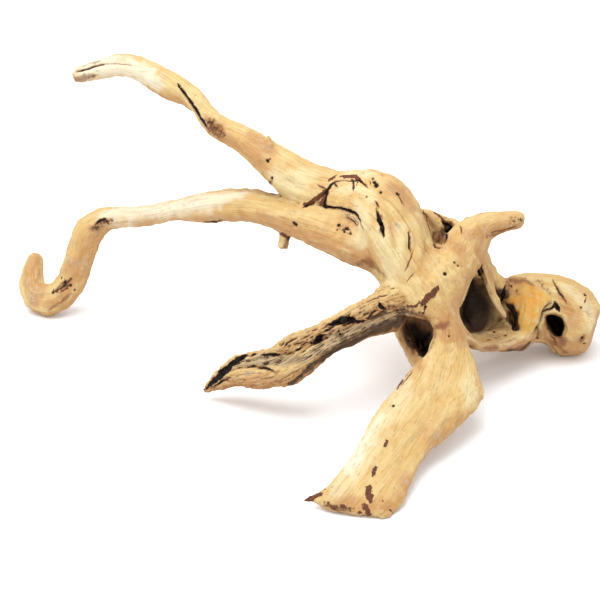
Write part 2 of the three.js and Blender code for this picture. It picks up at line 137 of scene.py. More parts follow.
# Grain lines, each a run of (across, rise, near, radius) in millimetres as the measuring view sees them,
# with the twist of the grain in degrees a millimetre and the channel that carries its grain.
GRAIN_LINES = {
    "trunk": ([
        (-159, 155.5, -40, 5), (-135, 162.5, -39, 8), (-108, 159.8, -36, 9), (-87, 148, -31, 9),
        (-61.5, 125, -25, 8), (-41.5, 113.4, -20, 10), (-20, 97.5, -16, 13), (4, 82, -11, 15),
        (24, 76, -6, 16), (45, 70, 0, 21), (61, 55, 5, 24), (70, 38, 6, 24), (80, 18, 5, 24),
        (90, 0, 8, 24), (100, -18, 12, 16), (103, -38, 20, 18), (99, -60, 36, 26), (84, -83, 50, 32),
        (66, -106, 72, 30), (46, -130, 97, 30), (33, -147, 108, 28),
    ], 0.25, 0),
    "middle limb": ([
        (-184.5, 36, -127, 5), (-187.5, 21, -123, 8), (-185, 2.5, -113, 10), (-167.5, 3.6, -108, 11),
        (-155, 25, -100, 11), (-146.5, 49, -90, 11), (-127, 58, -81, 8), (-100, 60, -69, 8),
        (-64, 65.5, -49, 11), (-33, 66, -32, 12), (-3, 57, -14, 13), (27, 45.5, 2, 15), (54, 33, 4, 14),
    ], 0.35, 1),
    "rim": ([
        (104, -12, 10, 7), (121, -30, -4, 6), (141, -32, -24, 7), (163, -26, -42, 8), (175, -24, -50, 8),
    ], 0.0, 1),
    "strip": ([
        (119, 44, -8, 7), (127, 29, -12, 5), (130.5, 18, -15, 5), (138, -3, -20, 4), (146, -14, -27, 3),
    ], 0.0, 1),
    "leg": ([(92, 12, -30, 13), (83, -6, -20, 12), (82, -34, -3, 9), (89, -51, 18, 7)], 0.0, 1),
    "weathered limb": ([
        (-70, -66, -10, 4), (-57.5, -57, -4, 8), (-40, -48, 5, 12), (-15, -44, 16, 15),
        (8, -31.8, 24, 13), (33, -18.7, 28, 12), (58, -6, 25, 13), (75, -2, 18, 10),
    ], 0.1, 2),
    "cut branch": ([
        (158, 55, -16, 7), (140, 54.5, -13, 9), (121, 45, -6, 14), (110, 30, 0, 16), (102, 14, 4, 12),
    ], 0.2, 2),
    "flap": ([(158, 16, -37, 10), (162, 4, -31, 13), (162, -8, -29, 12), (159, -22, -30, 8)], 0.0, 0),
    "back strand": ([
        (0, 86, -18, 12), (22, 76, -24, 14), (44, 66, -30, 17), (64, 50, -34, 19), (84, 32, -38, 18),
        (104, 14, -44, 17), (124, 2, -52, 17), (146, -4, -60, 20), (166, -6, -60, 24),
        (186, -13, -58, 25), (208, -21, -57, 20),
    ], 0.15, 2),
}

# Marks that were measured on the root, each a line of (across, rise, half width) in millimetres.
# Each crack has its depth first.
CRACKS = [
    (2.6, [(-84.6, 150, 0.8), (-77, 139, 1.2), (-70, 127, 1.5), (-66, 121, 0.9)]),
    (1.8, [(-156, 160, 0.4), (-150, 161.4, 0.7), (-144, 163.4, 0.6), (-138, 165, 0.3)]),
    (0.6, [(-137, 165.4, 0.25), (-128, 165.6, 0.25), (-118, 164.4, 0.2)]),
    (1.2, [(-66, 54.8, 0.5), (-60, 54.6, 0.9), (-55, 55.6, 0.4)]),
    (2.4, [(17, 65.3, 0.6), (25, 64.4, 0.7), (32, 63.2, 1.0), (38, 60.6, 1.0), (41, 56.5, 0.7),
           (43.5, 50, 0.3)]),
    (3.0, [(54, 62, 0.5), (55.4, 56, 1.2), (57.7, 50.5, 1.6), (58.4, 45, 0.6)]),
    (0.8, [(53.6, 68, 0.5), (54.6, 65.6, 0.4)]),
    (2.2, [(76.4, 47, 0.4), (77, 42.5, 0.9), (76.7, 36, 0.5)]),
    (0.5, [(79.2, 34, 0.25), (77.6, 29.5, 0.35), (75, 23.5, 0.35), (73.8, 20.5, 0.2)]),
    (0.4, [(79.3, 18.2, 0.25), (77, 15.6, 0.3), (75, 13, 0.2)]),
    (1.8, [(4, 65.6, 0.8), (8, 67.2, 0.5), (12, 70, 0.4), (15.2, 72.6, 0.5), (19.4, 77.6, 0.8),
           (21.2, 80.6, 0.9), (24.6, 83, 0.6), (30, 84, 0.4), (36, 83.6, 0.5), (41, 84.2, 0.8),
           (46.4, 79.6, 0.4)]),
    (1.6, [(18.6, 74, 0.8), (17.6, 70, 0.7), (17.4, 66.4, 1.2), (18, 65, 0.8)]),
    (1.4, [(36.6, 84, 0.6), (37.6, 81, 0.6), (37.8, 78, 0.8)]),
    (1.0, [(33.4, 57.4, 0.4), (36, 56, 0.5), (38.3, 53.6, 0.6)]),
    (0.8, [(14, 79.7, 0.5), (17, 78.3, 0.5)]),
    (0.8, [(24.5, 81, 0.6), (25.5, 80, 0.6)]),
    (1.0, [(69.8, 72, 0.5), (71.4, 68.5, 0.4)]),
    (0.8, [(94.5, 47, 0.3), (93.4, 42, 0.4), (94.6, 37.6, 0.6), (97.4, 36.4, 0.5)]),
    (0.6, [(88.6, 56, 0.3), (91, 50, 0.4), (92, 45, 0.3)]),
    (3.0, [(101, 54, 1.2), (104.6, 51, 2.2), (103, 47, 1.3), (101.6, 43, 0.8), (100.8, 41, 0.5)]),
    (0.8, [(112.6, 51, 0.4), (113, 47.5, 0.4)]),
    (1.6, [(126.4, 24, 0.5), (127.2, 20.5, 0.9)]),
    (2.0, [(143.6, 9, 0.6), (142, 3.4, 1.2), (141, 0, 1.0)]),
    (1.8, [(144.6, -3.4, 0.6), (148, -8.6, 1.1), (149.8, -14, 1.1), (149.4, -20, 0.9)]),
    (0.8, [(177.4, 14, 0.3), (179.6, 8, 0.5), (182, 4, 0.5), (186, -1, 0.3)]),
    (1.6, [(170.5, -7.4, 0.5), (175, -6, 0.5), (178.6, -4, 1.0), (180.5, -6, 1.4)]),
    (1.2, [(178.6, -1.4, 0.9)]),
    (0.5, [(176, -31, 0.3), (178, -34.4, 0.3), (180.4, -38, 0.3)]),
    (2.6, [(19, -17.4, 0.9), (25, -15.4, 2.2), (32, -13.4, 2.3), (37, -14, 1.5)]),
    (2.2, [(34, -16.4, 0.8), (39, -15.6, 1.3), (44.5, -15, 0.8)]),
    (2.4, [(17.3, -24.8, 1.2), (13.8, -26.2, 2.2), (11, -29.2, 1.4), (8, -30.4, 0.6)]),
    (1.4, [(18, -21.5, 0.7), (22.5, -19.4, 0.6)]),
    (1.2, [(4.6, -29.8, 0.7), (1.6, -31.4, 0.8)]),
    (1.2, [(0.4, -33.6, 0.8), (-2.4, -35, 0.6)]),
    (1.4, [(-10, -31.6, 0.8), (-7.4, -28.8, 0.5), (-3.4, -27.2, 0.4)]),
    (1.2, [(-26, -38.4, 0.8), (-20, -38.2, 1.5), (-14.4, -38.6, 0.7)]),
    (2.2, [(-31.4, -37.4, 0.9), (-38, -38.4, 2.0), (-45.5, -42.4, 2.9), (-52, -48.6, 3.2),
           (-57.6, -54.4, 3.1), (-62.6, -58.6, 2.4), (-66.4, -61.8, 1.6)]),
    (1.2, [(-49.6, -54.4, 0.5), (-55, -57, 0.9), (-60, -60.6, 0.6)]),
    (1.0, [(-28, -47.4, 0.6), (-24, -47.6, 0.9), (-19, -49.6, 0.6)]),
    (1.6, [(56, -3, 1.0), (57, -5, 1.6), (60, -6.2, 0.8)]),
    (1.2, [(53, -7.6, 0.6), (50, -9.6, 0.6), (48.4, -12.4, 0.6)]),
    (0.8, [(47, -1, 0.4), (52, 1.4, 0.4), (60, 3.6, 0.4)]),
    (0.8, [(78.6, -50, 0.3), (75.6, -53.4, 0.4), (71.6, -58.6, 0.3)]),
    (1.4, [(75.6, -17, 0.4), (78.4, -24.6, 0.7), (81.4, -32, 0.7), (83.4, -38, 0.5)]),
    (0.8, [(-60, 126, 0.3), (-62.4, 122, 0.5), (-61, 117.6, 0.3)]),
    (0.7, [(-57, 122, 0.3), (-59.2, 118.6, 0.4)]),
    (0.7, [(-54.4, 119.4, 0.3), (-55.8, 116, 0.4)]),
    (0.9, [(-171, 6.4, 0.4), (-167, 8.4, 0.5), (-164, 11.4, 0.6), (-161, 14.6, 0.4)]),
    (0.7, [(-166, 6.2, 0.4), (-162, 9.6, 0.4)]),
    (1.3, [(-143, 53, 0.4), (-140, 55.4, 1.0), (-136.6, 56.4, 0.7)]),
    (0.4, [(134, 47.4, 0.2), (142, 48.6, 0.25), (150, 51, 0.2)]),
    (0.7, [(176, -24, 0.3), (178, -28, 0.4), (179, -31, 0.3)]),
]

# Holes that worms left, and pits: (across, rise, radius). Their depth goes with their radius.
HOLES = [
    (-23, 97.4, 0.9), (-21, 98.8, 0.5), (-19.6, 85.4, 0.8), (-21, 82, 0.7), (-173, 5, 0.7),
    (-167, 15.4, 0.6), (-164.5, 12.8, 0.8), (-160.6, 10.2, 0.7), (-157.5, 7.2, 0.6), (-163, 8, 0.5),
    (-4.6, 53.4, 0.9), (-3, 52.6, 0.9), (-137.6, 56, 1.3), (-135.5, 54.6, 0.8), (52.2, 82.4, 0.9),
    (53.4, 80.6, 1.1), (51, 84.4, 0.5), (56.8, 75.8, 0.8), (67.8, 74.4, 0.8), (47, 71.8, 0.5),
    (27, 52.8, 0.8), (30.4, 49.2, 0.6), (32.2, 50.3, 0.9), (33.8, 49.4, 0.7), (31, 47.8, 0.5),
    (35.6, 46.4, 0.5), (26, 49, 0.4), (101.4, 18, 1.0), (108, 26, 0.5), (110.6, 24.2, 0.5),
    (86.2, -9.6, 0.7), (88, -5, 0.9), (147.8, 9.8, 0.6), (152, 6.4, 0.4), (136, -22.4, 0.7),
    (197.4, -26.8, 0.8), (199.2, -30.6, 0.8), (199.4, 3.8, 0.6), (196.8, -5.2, 0.6), (104, -25, 0.5),
    (65, -74, 0.6), (27, -21.6, 0.6), (28, -24, 0.6), (23, -22.4, 0.4), (8, -26.4, 0.5),
    (5, -27.6, 0.5), (76, -28, 0.8),
]

# Scraps of dark bark that still stick to the wood.
BARK = [
    [(20.4, 84, 1.0), (23, 85.6, 1.3), (25.6, 87, 0.9)],
    [(29, 86.4, 1.3), (33, 86.4, 1.9), (37.6, 86.2, 1.9), (40.6, 85, 1.2), (43, 83, 0.9)],
    [(3, 66.6, 0.9), (7, 68.8, 1.0), (11, 71.6, 1.0), (15, 74.4, 1.1), (19, 77.6, 1.0)],
    [(15, 66.6, 1.2), (15.8, 69.6, 1.3), (17.4, 72.6, 1.3), (19.4, 75.6, 1.0)],
    [(96, 9, 1.4), (94.4, 6.4, 2.2), (91.4, 3.4, 2.3), (88.6, 0.6, 2.1), (85.6, -2.6, 1.6)],
    [(75, -3.6, 0.7), (78, -4.2, 1.0), (80.6, -4, 0.9), (83.4, -2, 0.7)],
    [(88.4, -4.6, 0.8), (87, -8, 0.7)],
    [(60.6, -99, 1.0), (59.6, -102.4, 1.1)],
    [(53, -117, 1.0), (51.8, -120, 1.2), (51, -123.4, 0.8)],
    [(48.6, -130.4, 1.1), (47.6, -134, 2.0), (48.8, -138, 2.2), (49.4, -141, 1.4)],
    [(44.6, -143.6, 1.3), (46.6, -146.4, 2.2), (48, -149.6, 1.6)],
    [(29.6, -144.4, 1.9)], [(63, -147.6, 1.2)], [(42, -149, 1.0)], [(17, -133, 0.8)],
    [(2, -140.4, 0.8), (6, -139.4, 1.5), (10, -138, 1.9), (14.6, -135.8, 1.4)],
    [(20, -142, 0.9)], [(24, -146.4, 0.8)], [(35, -147.4, 0.7)], [(66, -132, 0.6)], [(58, -141, 0.5)],
    [(-63, 54.8, 0.7), (-59, 54.2, 0.9)],
    [(-13.6, 46.6, 0.9), (-11, 45.8, 1.8), (-8, 44.6, 2.4)],
    [(76.6, -49, 0.5), (73, -54, 1.0), (70, -59, 0.9), (68, -62.4, 0.4)],
    [(-137, 56.6, 1.2)], [(-134.6, 53.6, 0.6)],
    [(110, 55.4, 0.4), (117, 57.6, 0.5), (121, 59.4, 0.6), (127, 60.8, 0.4)],
    [(93.6, 61.4, 0.6), (98, 58.4, 0.8), (101, 54.8, 1.2)],
    [(86, 62.5, 0.6), (88, 58, 0.6)],
    [(199, -2, 0.5), (200.4, 1.4, 0.6)],
]

# Reddish-brown patches laid into the colour, (across, rise, half width).
RUSSET = [
    [(41, 24.5, 1.6), (46, 27, 3.4), (51, 24.5, 2.8), (56, 20, 2.0), (60, 16.4, 1.2)],
    [(86, 60, 2.0), (91, 55, 2.6), (96, 48, 3.0), (97, 40, 2.6)],
    [(94, 62, 1.2), (103, 58, 1.4)],
    [(94, -19.4, 1.2), (99, -18.6, 1.6), (104, -15.6, 1.4)],
    [(145, 13, 1.6), (146, 6, 2.2), (146, 0, 1.8)],
    [(139, 8, 1.0), (140, 3, 1.2)],
    [(132, -35, 1.2), (145, -35.6, 1.6), (158, -31, 1.6)],
    [(183, -27, 2.6), (185, -32, 2.6)],
    [(143, 47.6, 1.2), (131, 44.4, 1.4)],
    [(119, -32, 1.2), (124, -35, 1.4)],
    [(66, -6, 1.6), (74, -8, 1.8), (84, -10.6, 1.6), (90, -15, 1.4)],
    [(20, -144, 1.6), (28, -146, 1.4), (34, -146.6, 1.0)],
    [(-64, 125, 2.4), (-60, 121, 3.4), (-54, 116, 2.6)],
    [(-144, 50, 2.4), (-138, 54.4, 2.6), (-132, 56, 1.6)],
    [(-172, 6, 1.4), (-166, 11, 2.0), (-162, 14, 1.2)],
    [(-157, 154.6, 1.6), (-152, 155.6, 2.0), (-145, 156.6, 1.6)],
    [(178, 13, 1.0), (181, 6, 1.2), (186, -1, 0.9)],
    [(134, 47, 1.0), (143, 49, 1.2), (151, 51.4, 1.0)],
    [(196, -30, 1.2), (199, -24, 1.0)],
    [(-176, -7, 1.2), (-168, -2, 1.4), (-160, 5, 1.0)],
    [(-20, 84, 1.4), (-22, 79, 1.2)],
    [(-9, 44, 1.8), (-9.6, 40, 1.4), (-11, 37, 1.2)],
    [(72, -16, 2.2), (74.4, -24, 2.4), (77.4, -31, 2.2), (79.6, -37, 1.6)],
    [(148, 14, 2.6), (156, 13, 3.0), (163, 10, 2.2)],
    [(152, 6, 1.6), (155, 0, 1.2)],
    [(177, -30, 2.6), (182, -33, 3.4), (186, -37, 2.6)],
    [(130, -33.6, 1.4), (138, -33.6, 1.6)],
    [(95, -24, 1.6), (93, -30, 1.4), (90, -36, 1.0)],
    [(145, -34.6, 1.6), (152, -34, 2.8), (159, -30.6, 2.6)],
    [(12, 70, 2.6), (15, 66, 2.4)],
]

# Painted highlights: patches painted pale where the light falls brightest on the wood.
PAINTED_HIGHLIGHTS = [
    [(-148, 159, 4), (-134, 162, 5), (-116, 159, 5), (-102, 152, 4)],
    [(-16, 86, 6), (-6, 80, 8), (4, 88, 5)],
    [(40, 68, 3), (44, 60, 5), (44, 50, 5), (41, 42, 4)],
    [(28, 77, 3), (40, 78, 3), (50, 70, 3)],
    [(34, 88, 3), (52, 88, 3)],
    [(54, 46, 4), (58, 38, 5), (62, 26, 5), (64, 10, 4)],
    [(70, 50, 3), (70, 34, 3)],
    [(74, -60, 4), (60, -80, 6), (45, -102, 7), (33, -122, 6), (26, -134, 4)],
    [(120, -54, 4), (118, -68, 5)],
    [(186, 8, 4), (200, -4, 4), (204, -18, 4)],
]

# Painted highlights that are nearly white, on the brightest lit tops of the limbs and the foot.
PAINTED_WHITE_HIGHLIGHTS = [
    [(-150, 163, 4), (-140, 166, 5), (-126, 162, 6), (-112, 159, 5), (-100, 151, 3)],
    [(-138, 60, 3), (-126, 62, 3.6), (-104, 64, 4), (-84, 66, 4), (-66, 69, 3.6), (-50, 73, 2.4),
     (-38, 75, 1.6)],
    [(56, -82, 2), (44, -100, 3), (34, -118, 3)],
]

# Tan in broad patches: darker wood, and painted shade on lower sides and sides turned from the light.
TAN = [
    [(-184, 30, 5), (-188, 18, 5), (-184, 5, 5)],
    [(-174, -4, 3), (-164, 4, 4), (-156, 18, 5), (-150, 34, 5), (-143, 46, 5)],
    [(-112, 152, 4), (-98, 143, 5), (-84, 138, 4)],
    [(-66, 121, 7), (-52, 112, 7), (-38, 104, 7), (-26, 92, 5)],
    [(-40, 58, 4), (-20, 52, 5), (0, 46, 6), (18, 40, 6), (32, 34, 6), (44, 32, 6)],
    [(120, 46, 5), (132, 47, 4), (146, 50, 4)],
    [(124, 34, 5), (130, 24, 4), (136, 12, 4)],
    [(148, 12, 6), (150, 4, 5), (150, -4, 3)],
    [(166, -24, 6), (180, -30, 7), (192, -32, 6), (200, -28, 4)],
    [(172, -18, 3), (176, -26, 3), (184, -30, 4), (184, -38, 3)],
    [(96, 36, 4), (104, 42, 5), (112, 34, 5)],
    [(134, -31, 2), (142, -31, 2)],
    [(186, 0, 4), (190, -14, 5)],
    [(100, -24, 5), (112, -26, 5), (108, -14, 5)],
    [(118, -28, 5), (132, -33, 4), (150, -31, 4)],
    [(76, -132, 6), (68, -144, 6), (50, -146, 5), (30, -143, 5)],
    [(110, -84, 5), (96, -104, 5), (84, -120, 5)],
    [(116, 10, 6), (112, -4, 6), (104, -14, 5)],
    [(66, 78, 5), (76, 68, 5)],
    [(74, -18, 3), (75, -28, 3), (79, -38, 3), (84, -47, 2.4)],
    [(-30, 112, 4), (-22, 108, 5)],
    [(-8, -32, 3), (4, -28, 3), (16, -23, 3), (28, -18, 2.4)],
    [(-44, -54, 3), (-28, -56, 4), (-10, -58, 4)],
]

# Amber wood, as on the flap over the hollow of the block.
AMBER = [
    [(154, 8, 3.0), (163, 7, 4.0), (171, 3, 3.4), (175, 0, 2.0)],
    [(153, 0, 3.0), (162, -1, 5.5), (170, -3, 3.0)],
    [(153, -8, 2.6), (160, -9, 5.4), (166, -11, 3.0)],
    [(154, -15, 2.4), (160, -18, 3.6), (165, -18, 2.0)],
    [(158, -22, 2.2), (162, -21, 2.0)],
]

# The dark insides of hollows, darker wood with painted shade, each a line of (across, rise, near, radius)
# through the hollow.
HOLLOW_HEARTS = [
    [(126, 18, -20, 6), (123, 6, -26, 11), (124, -8, -30, 13), (122, -16, -34, 10)],
    [(82, -20, 0, 9), (86, -31, -2, 7), (88, -39, 4, 5), (90, -45, 12, 4)],
    [(178, -16, -48, 7), (180, -22, -52, 7)],
    [(148, -8, -34, 4), (149, -18, -34, 4)],
    [(142, 3, -26, 4)],
    [(102, 49, -14, 4)],
]

# The grey, weathered wood of the third limb's side.
GREY = [
    [(72, -12, 6), (60, -13, 6), (46, -19, 5.4), (32, -26, 5), (18, -33, 5), (4, -41, 4.6),
     (-10, -43, 4.2), (-26, -43, 3.6), (-38, -44, 2.6), (-46, -46, 1.8)],
    [(-33, -50.6, 1.4), (-38.6, -52, 1.6)],
    [(-60, -58, 2), (-67, -63, 2.4)],
    [(-152, 163.4, 1.2), (-146, 165.8, 1.4), (-140, 167.4, 1.0)],
]

# Dark, dusky tone on lower edges, such as that limb's: dark wood with painted shade.
DUSKY = [
    [(72, -13, 5.4), (62, -18, 5.4), (52, -21.6, 5), (43, -26.6, 4.8), (31, -32.6, 4.4), (21, -37.4, 3.8),
     (10, -45, 3.0), (1, -52.4, 2.3), (-7, -59.4, 1.6)],
    [(60, -8, 2.0), (48, -13, 1.6)],
    [(146, -35.6, 1.4), (153, -35.4, 2.6), (159, -32, 2.8), (161, -29.4, 2.0)],
    [(80, -19, 2.4), (83, -26, 2.6), (85.6, -33, 2.4)],
]

# The old, grey-tan wood on the floor of the great hollow.
HOLLOW_FLOOR = [
    [(128, -23, 3.4), (136, -20, 4.4), (143, -18.6, 4)],
    [(131, -25.4, 1.6), (139, -24, 2.4)],
]

# Thin, crisp edges that catch the light.
LIGHT_EDGES = [
    [(176.6, 1, 0.7), (176, -3, 0.8), (171.4, -6, 0.8), (169.6, -12, 0.8), (167.4, -17.4, 0.8),
     (163, -22, 0.8), (156, -23, 0.7)],
    [(68, -10.8, 0.8), (80, -14.4, 1.0), (91, -18.2, 0.8)],
    [(66, -24, 0.6), (72, -34, 0.7), (78, -44, 0.6)],
    [(111, -9, 0.7), (115, 3, 0.8), (121, 16, 0.7)],
    [(130, 14, 0.6), (135, -1, 0.6), (143, -12, 0.6)],
    [(117, -26, 0.7), (127, -30, 0.9), (139, -30, 0.9), (150, -25.6, 0.8)],
    [(122, -38, 0.8), (126, -52, 0.9), (129, -64, 1.0), (124, -76, 0.8)],
]

# Patches that are rough with knots and frayed fibre.
ROUGH = [
    [(-64, 125, 2.4), (-59, 120, 3.6), (-54, 116, 2.4)],
    [(-143, 51, 2.6), (-138, 54, 3.0), (-132, 55.6, 1.8)],
    [(-171, 6, 1.4), (-165, 11, 2.2), (-160, 15, 1.2)],
    [(27, 52.6, 1.6), (32, 50, 2.2), (35, 47, 1.4)],
    [(64, -5, 2.4), (74, -8, 2.6), (84, -9, 2.0)],
    [(168, 12, 2), (174, 6, 2)],
    [(16, -143, 1.6), (26, -145.6, 2), (36, -146.6, 1.6)],
    [(150, 56, 3), (155, 56, 3)],
]

# Places where the wood is worn round: (across, rise, near, radius).
WORN_ROUND = [
    (206, -18, -57, 30), (156, 55, -16, 11), (-176, 0, -111, 22), (-188, 8, -118, 16), (-150, 50, -90, 16),
]

# The thin peg under the middle limb, which the rounding of creases spares: (across, rise, near, radius).
THIN_PEG = (-11.4, 40, -21.4, 9)

# Ridges (height above 0) and furrows (below 0) that stand out on the root from a step away:
# (height, [(across, rise, half width), ...]).
RIDGES = [
    (1.3, [(26, 88, 2.4), (36, 89.6, 2.6), (48, 88, 3.0), (60, 80, 3.0), (68, 68, 3.0), (72, 56, 3.0)]),
    (-1.1, [(48, 83, 1.6), (58, 72, 1.8), (63, 60, 1.8), (66, 46, 1.8), (68, 34, 1.6)]),
    (1.2, [(28, 78, 3.0), (40, 76, 3.4), (50, 68, 3.0), (55, 60, 2.4)]),
    (1.0, [(44, 60, 2.6), (48, 50, 2.8), (52, 40, 2.6), (58, 30, 2.4)]),
    (-0.9, [(62, 58, 1.5), (66, 40, 1.6), (67, 26, 1.5)]),
    (0.8, [(70, 54, 2.2), (72, 40, 2.4), (71, 26, 2.4), (70, 12, 2.6)]),
    (0.9, [(82, 52, 2.2), (84, 40, 2.4), (84, 28, 2.2), (80, 16, 2.2)]),
    (-0.8, [(88, 46, 1.6), (88, 34, 1.6), (86, 24, 1.6)]),
    (0.8, [(112, 46, 3.0), (106, 32, 3.4), (99, 18, 3.4), (90, 4, 3.2)]),
    (-0.8, [(100, 30, 2.0), (92, 18, 2.0), (84, 8, 2.0)]),
    (0.8, [(120, 28, 2.6), (115, 12, 2.6), (110, -2, 2.6)]),
    (-0.7, [(96, -3, 1.8), (100, -11, 1.8)]),
    (0.9, [(-14, 74, 2.6), (6, 66, 2.8), (24, 60, 2.6), (38, 54, 2.4)]),
    (-0.8, [(-24, 72, 1.5), (-8, 68, 1.5), (8, 60, 1.5), (22, 56, 1.4)]),
    (0.9, [(-10, 92, 3.0), (4, 86, 3.0), (14, 84, 2.6)]),
    (-0.8, [(-12, 86, 1.6), (-4, 79, 1.6), (6, 76, 1.6)]),
    (1.0, [(152, 17, 2.4), (166, 15, 2.6), (178, 8, 2.6), (190, -2, 3.0), (196, -16, 3.0)]),
    (-0.9, [(158, 13, 1.6), (172, 8, 1.6), (180, -1, 1.6)]),
    (0.8, [(151, -20, 1.2), (152, -14, 1.0), (151.4, -6, 1.0), (150, 2, 1.2)]),
    (0.9, [(176.6, 0.4, 1.1), (176, -2.4, 1.1), (171.4, -6.4, 1.1), (169.4, -12, 1.1), (167, -18, 1.1),
           (160, -23, 1.1)]),
    (-1.2, [(180, -1, 1.2), (178.6, -4.6, 1.2)]),
    (-2.6, [(86, -27, 3.0), (87.4, -34, 3.0), (87, -40, 2.2)]),
    (0.9, [(-158, 155, 3.0), (-150, 156.4, 3.0)]),
    (0.7, [(158, 6, 1.2), (158.6, -4, 1.1), (158, -16, 1.0)]),
    (-0.6, [(162, 7, 1.0), (162.4, -4, 1.0), (161, -18, 1.0)]),
    (0.6, [(166, 6, 1.1), (167, -3, 1.0), (165, -14, 0.9)]),
    (-0.9, [(-141, 165.4, 1.3), (-132, 166, 1.3), (-122, 165, 1.2), (-111, 162, 1.2)]),
    (0.7, [(-138, 160, 2.0), (-122, 161, 2.2), (-108, 157, 2.2), (-96, 150, 2.2)]),
    (-0.7, [(-104, 161, 1.6), (-92, 155, 1.6), (-80, 147, 1.5)]),
    (1.1, [(-66, 126, 2.0), (-62, 130, 2.4), (-56, 126, 2.2)]),
    (-0.8, [(-56, 112, 1.8), (-46, 108, 1.8), (-38, 101, 1.8)]),
    (1.0, [(-171, 14, 2.4), (-165, 26, 2.4), (-161, 38, 2.4)]),
    (-0.8, [(-160, 10, 1.8), (-154, 24, 1.8), (-150, 38, 1.8)]),
    (0.9, [(-180, -4, 2.4), (-168, -1, 2.4), (-156, 8, 2.4)]),
    (1.2, [(134, -30.6, 1.6), (144, -31, 1.6), (154, -27, 1.6), (160, -24, 1.4)]),
    (1.0, [(118, 38, 1.6), (124, 27, 1.2), (129, 15, 1.2), (133, 4, 1.2), (139, -7, 1.2)]),
    (0.7, [(98, -36, 3.0), (84, -58, 3.4), (68, -82, 3.4), (50, -112, 3.2), (38, -134, 3.0)]),
    (-0.6, [(108, -40, 2.2), (98, -66, 2.6), (82, -96, 2.6), (62, -128, 2.4)]),
    (0.6, [(118, -50, 2.6), (112, -78, 2.8), (96, -104, 2.6), (76, -136, 2.4)]),
    (1.0, [(126, -54, 1.2), (128, -64, 1.2), (124, -78, 1.2), (110, -92, 1.2), (94, -105, 1.2)]),
]


# Places and arrays, in millimetres.
def spot(rows):
    """Places (across, rise, near) of the measuring view, as places in the root's own frame."""
    rows = np.asarray(rows, float)
    across, rise, near = rows[:, 0], rows[:, 1], rows[:, 2]
    closer = 1 - near / VIEW_DISTANCE
    back = rise * closer * math.sin(VIEW_DROP) - near * math.cos(VIEW_DROP)
    up = rise * closer * math.cos(VIEW_DROP) + near * math.sin(VIEW_DROP)
    return np.stack([across * closer, back, up], 1) + VIEW_MIDDLE


EYE = VIEW_MIDDLE + VIEW_DISTANCE * np.array([0.0, -math.cos(VIEW_DROP), math.sin(VIEW_DROP)])


def smooth_run(rows, step):
    """A curve through rows of numbers, the first three a place, with points about a step apart."""
    rows = np.asarray(rows, float)
    if len(rows) == 1:
        return rows
    ends = np.vstack([2 * rows[0] - rows[1], rows, 2 * rows[-1] - rows[-2]])
    parts = []
    for i in range(len(rows) - 1):
        a, b, c, d = ends[i:i + 4]
        count = max(1, int(round(np.linalg.norm((c - b)[:3]) / step)))
        t = (np.arange(count) / count)[:, None]
        parts.append(0.5 * (2 * b + (c - a) * t + (2 * a - 5 * b + 4 * c - d) * t**2
                            + (3 * b - a - 3 * c + d) * t**3))
    parts.append(rows[-1:])
    return np.vstack(parts)


def read_points(mesh):
    """The vertices of a mesh in millimetres."""
    flat = np.empty(len(mesh.vertices) * 3)
    mesh.vertices.foreach_get("co", flat)
    return flat.reshape(-1, 3) / MM


def write_points(mesh, points):
    """Puts the vertices of a mesh where points says, in millimetres."""
    mesh.vertices.foreach_set("co", (points * MM).ravel())
    mesh.update()


def read_normals(mesh):
    flat = np.empty(len(mesh.vertices) * 3)
    mesh.vertex_normals.foreach_get("vector", flat)
    return flat.reshape(-1, 3)


def read_edges(mesh):
    flat = np.empty(len(mesh.edges) * 2, np.int64)
    mesh.edges.foreach_get("vertices", flat)
    return flat.reshape(-1, 2)


def store(mesh, name, values):
    """Keeps values on the vertices of a mesh: one, three or four numbers each."""
    values = np.asarray(values, np.float32)
    width = 1 if values.ndim == 1 else values.shape[1]
    kinds = {1: ("FLOAT", "value"), 3: ("FLOAT_VECTOR", "vector"), 4: ("FLOAT_COLOR", "color")}
    kind, field = kinds[width]
    layer = mesh.attributes.new(name, kind, "POINT")
    layer.data.foreach_set(field, values.ravel())


def store_three(mesh, name, values):
    """Keeps three rows of numbers on the vertices of a mesh, as a colour."""
    store(mesh, name, np.stack([*values, np.ones(len(values[0]))], 1))


def neighbour_mean(values, edges):
    """The mean of each vertex's neighbours."""
    a, b = edges[:, 0], edges[:, 1]
    count = len(values)
    reach = np.bincount(a, minlength=count) + np.bincount(b, minlength=count)
    columns = values.reshape(count, -1)
    total = np.stack([
        np.bincount(a, columns[b, k], count) + np.bincount(b, columns[a, k], count)
        for k in range(columns.shape[1])
    ], 1)
    return (total / np.maximum(reach, 1)[:, None]).reshape(values.shape)


def relax(values, edges, times, share=0.5):
    """Values that flow into their neighbours a number of times."""
    for _ in range(times):
        values = values + share * (neighbour_mean(values, edges) - values)
    return values


def smoothstep(low, high, value):
    t = np.clip((value - low) / (high - low), 0, 1)
    return t * t * (3 - 2 * t)


# Seeded noise.
NOISE_RNG = np.random.default_rng(SEED)
NOISE_ORDER = NOISE_RNG.permutation(256)
NOISE_SLOPES = NOISE_RNG.normal(size=(256, 3))
NOISE_SLOPES /= np.linalg.norm(NOISE_SLOPES, axis=1)[:, None]


def lattice(cell, seed):
    """A number from 0 to 255 for each whole-number cell."""
    x, y, z = ((cell[:, k] + shift) & 255 for k, shift in enumerate((seed * 37, seed * 11, seed * 5)))
    return NOISE_ORDER[(NOISE_ORDER[(NOISE_ORDER[x] + y) & 255] + z) & 255]


def noise(points, seed):
    """Smooth noise of about -1 to 1 at each point."""
    cell = np.floor(points).astype(np.int64)
    inside = points - cell
    fade = inside**3 * (inside * (inside * 6 - 15) + 10)
    total = np.zeros(len(points))
    for corner in np.ndindex(2, 2, 2):
        corner = np.array(corner)
        slope = NOISE_SLOPES[lattice(cell + corner, seed)]
        share = np.prod(np.where(corner == 1, fade, 1 - fade), axis=1)
        total += share * np.einsum("ij,ij->i", slope, inside - corner)
    return total * 1.6


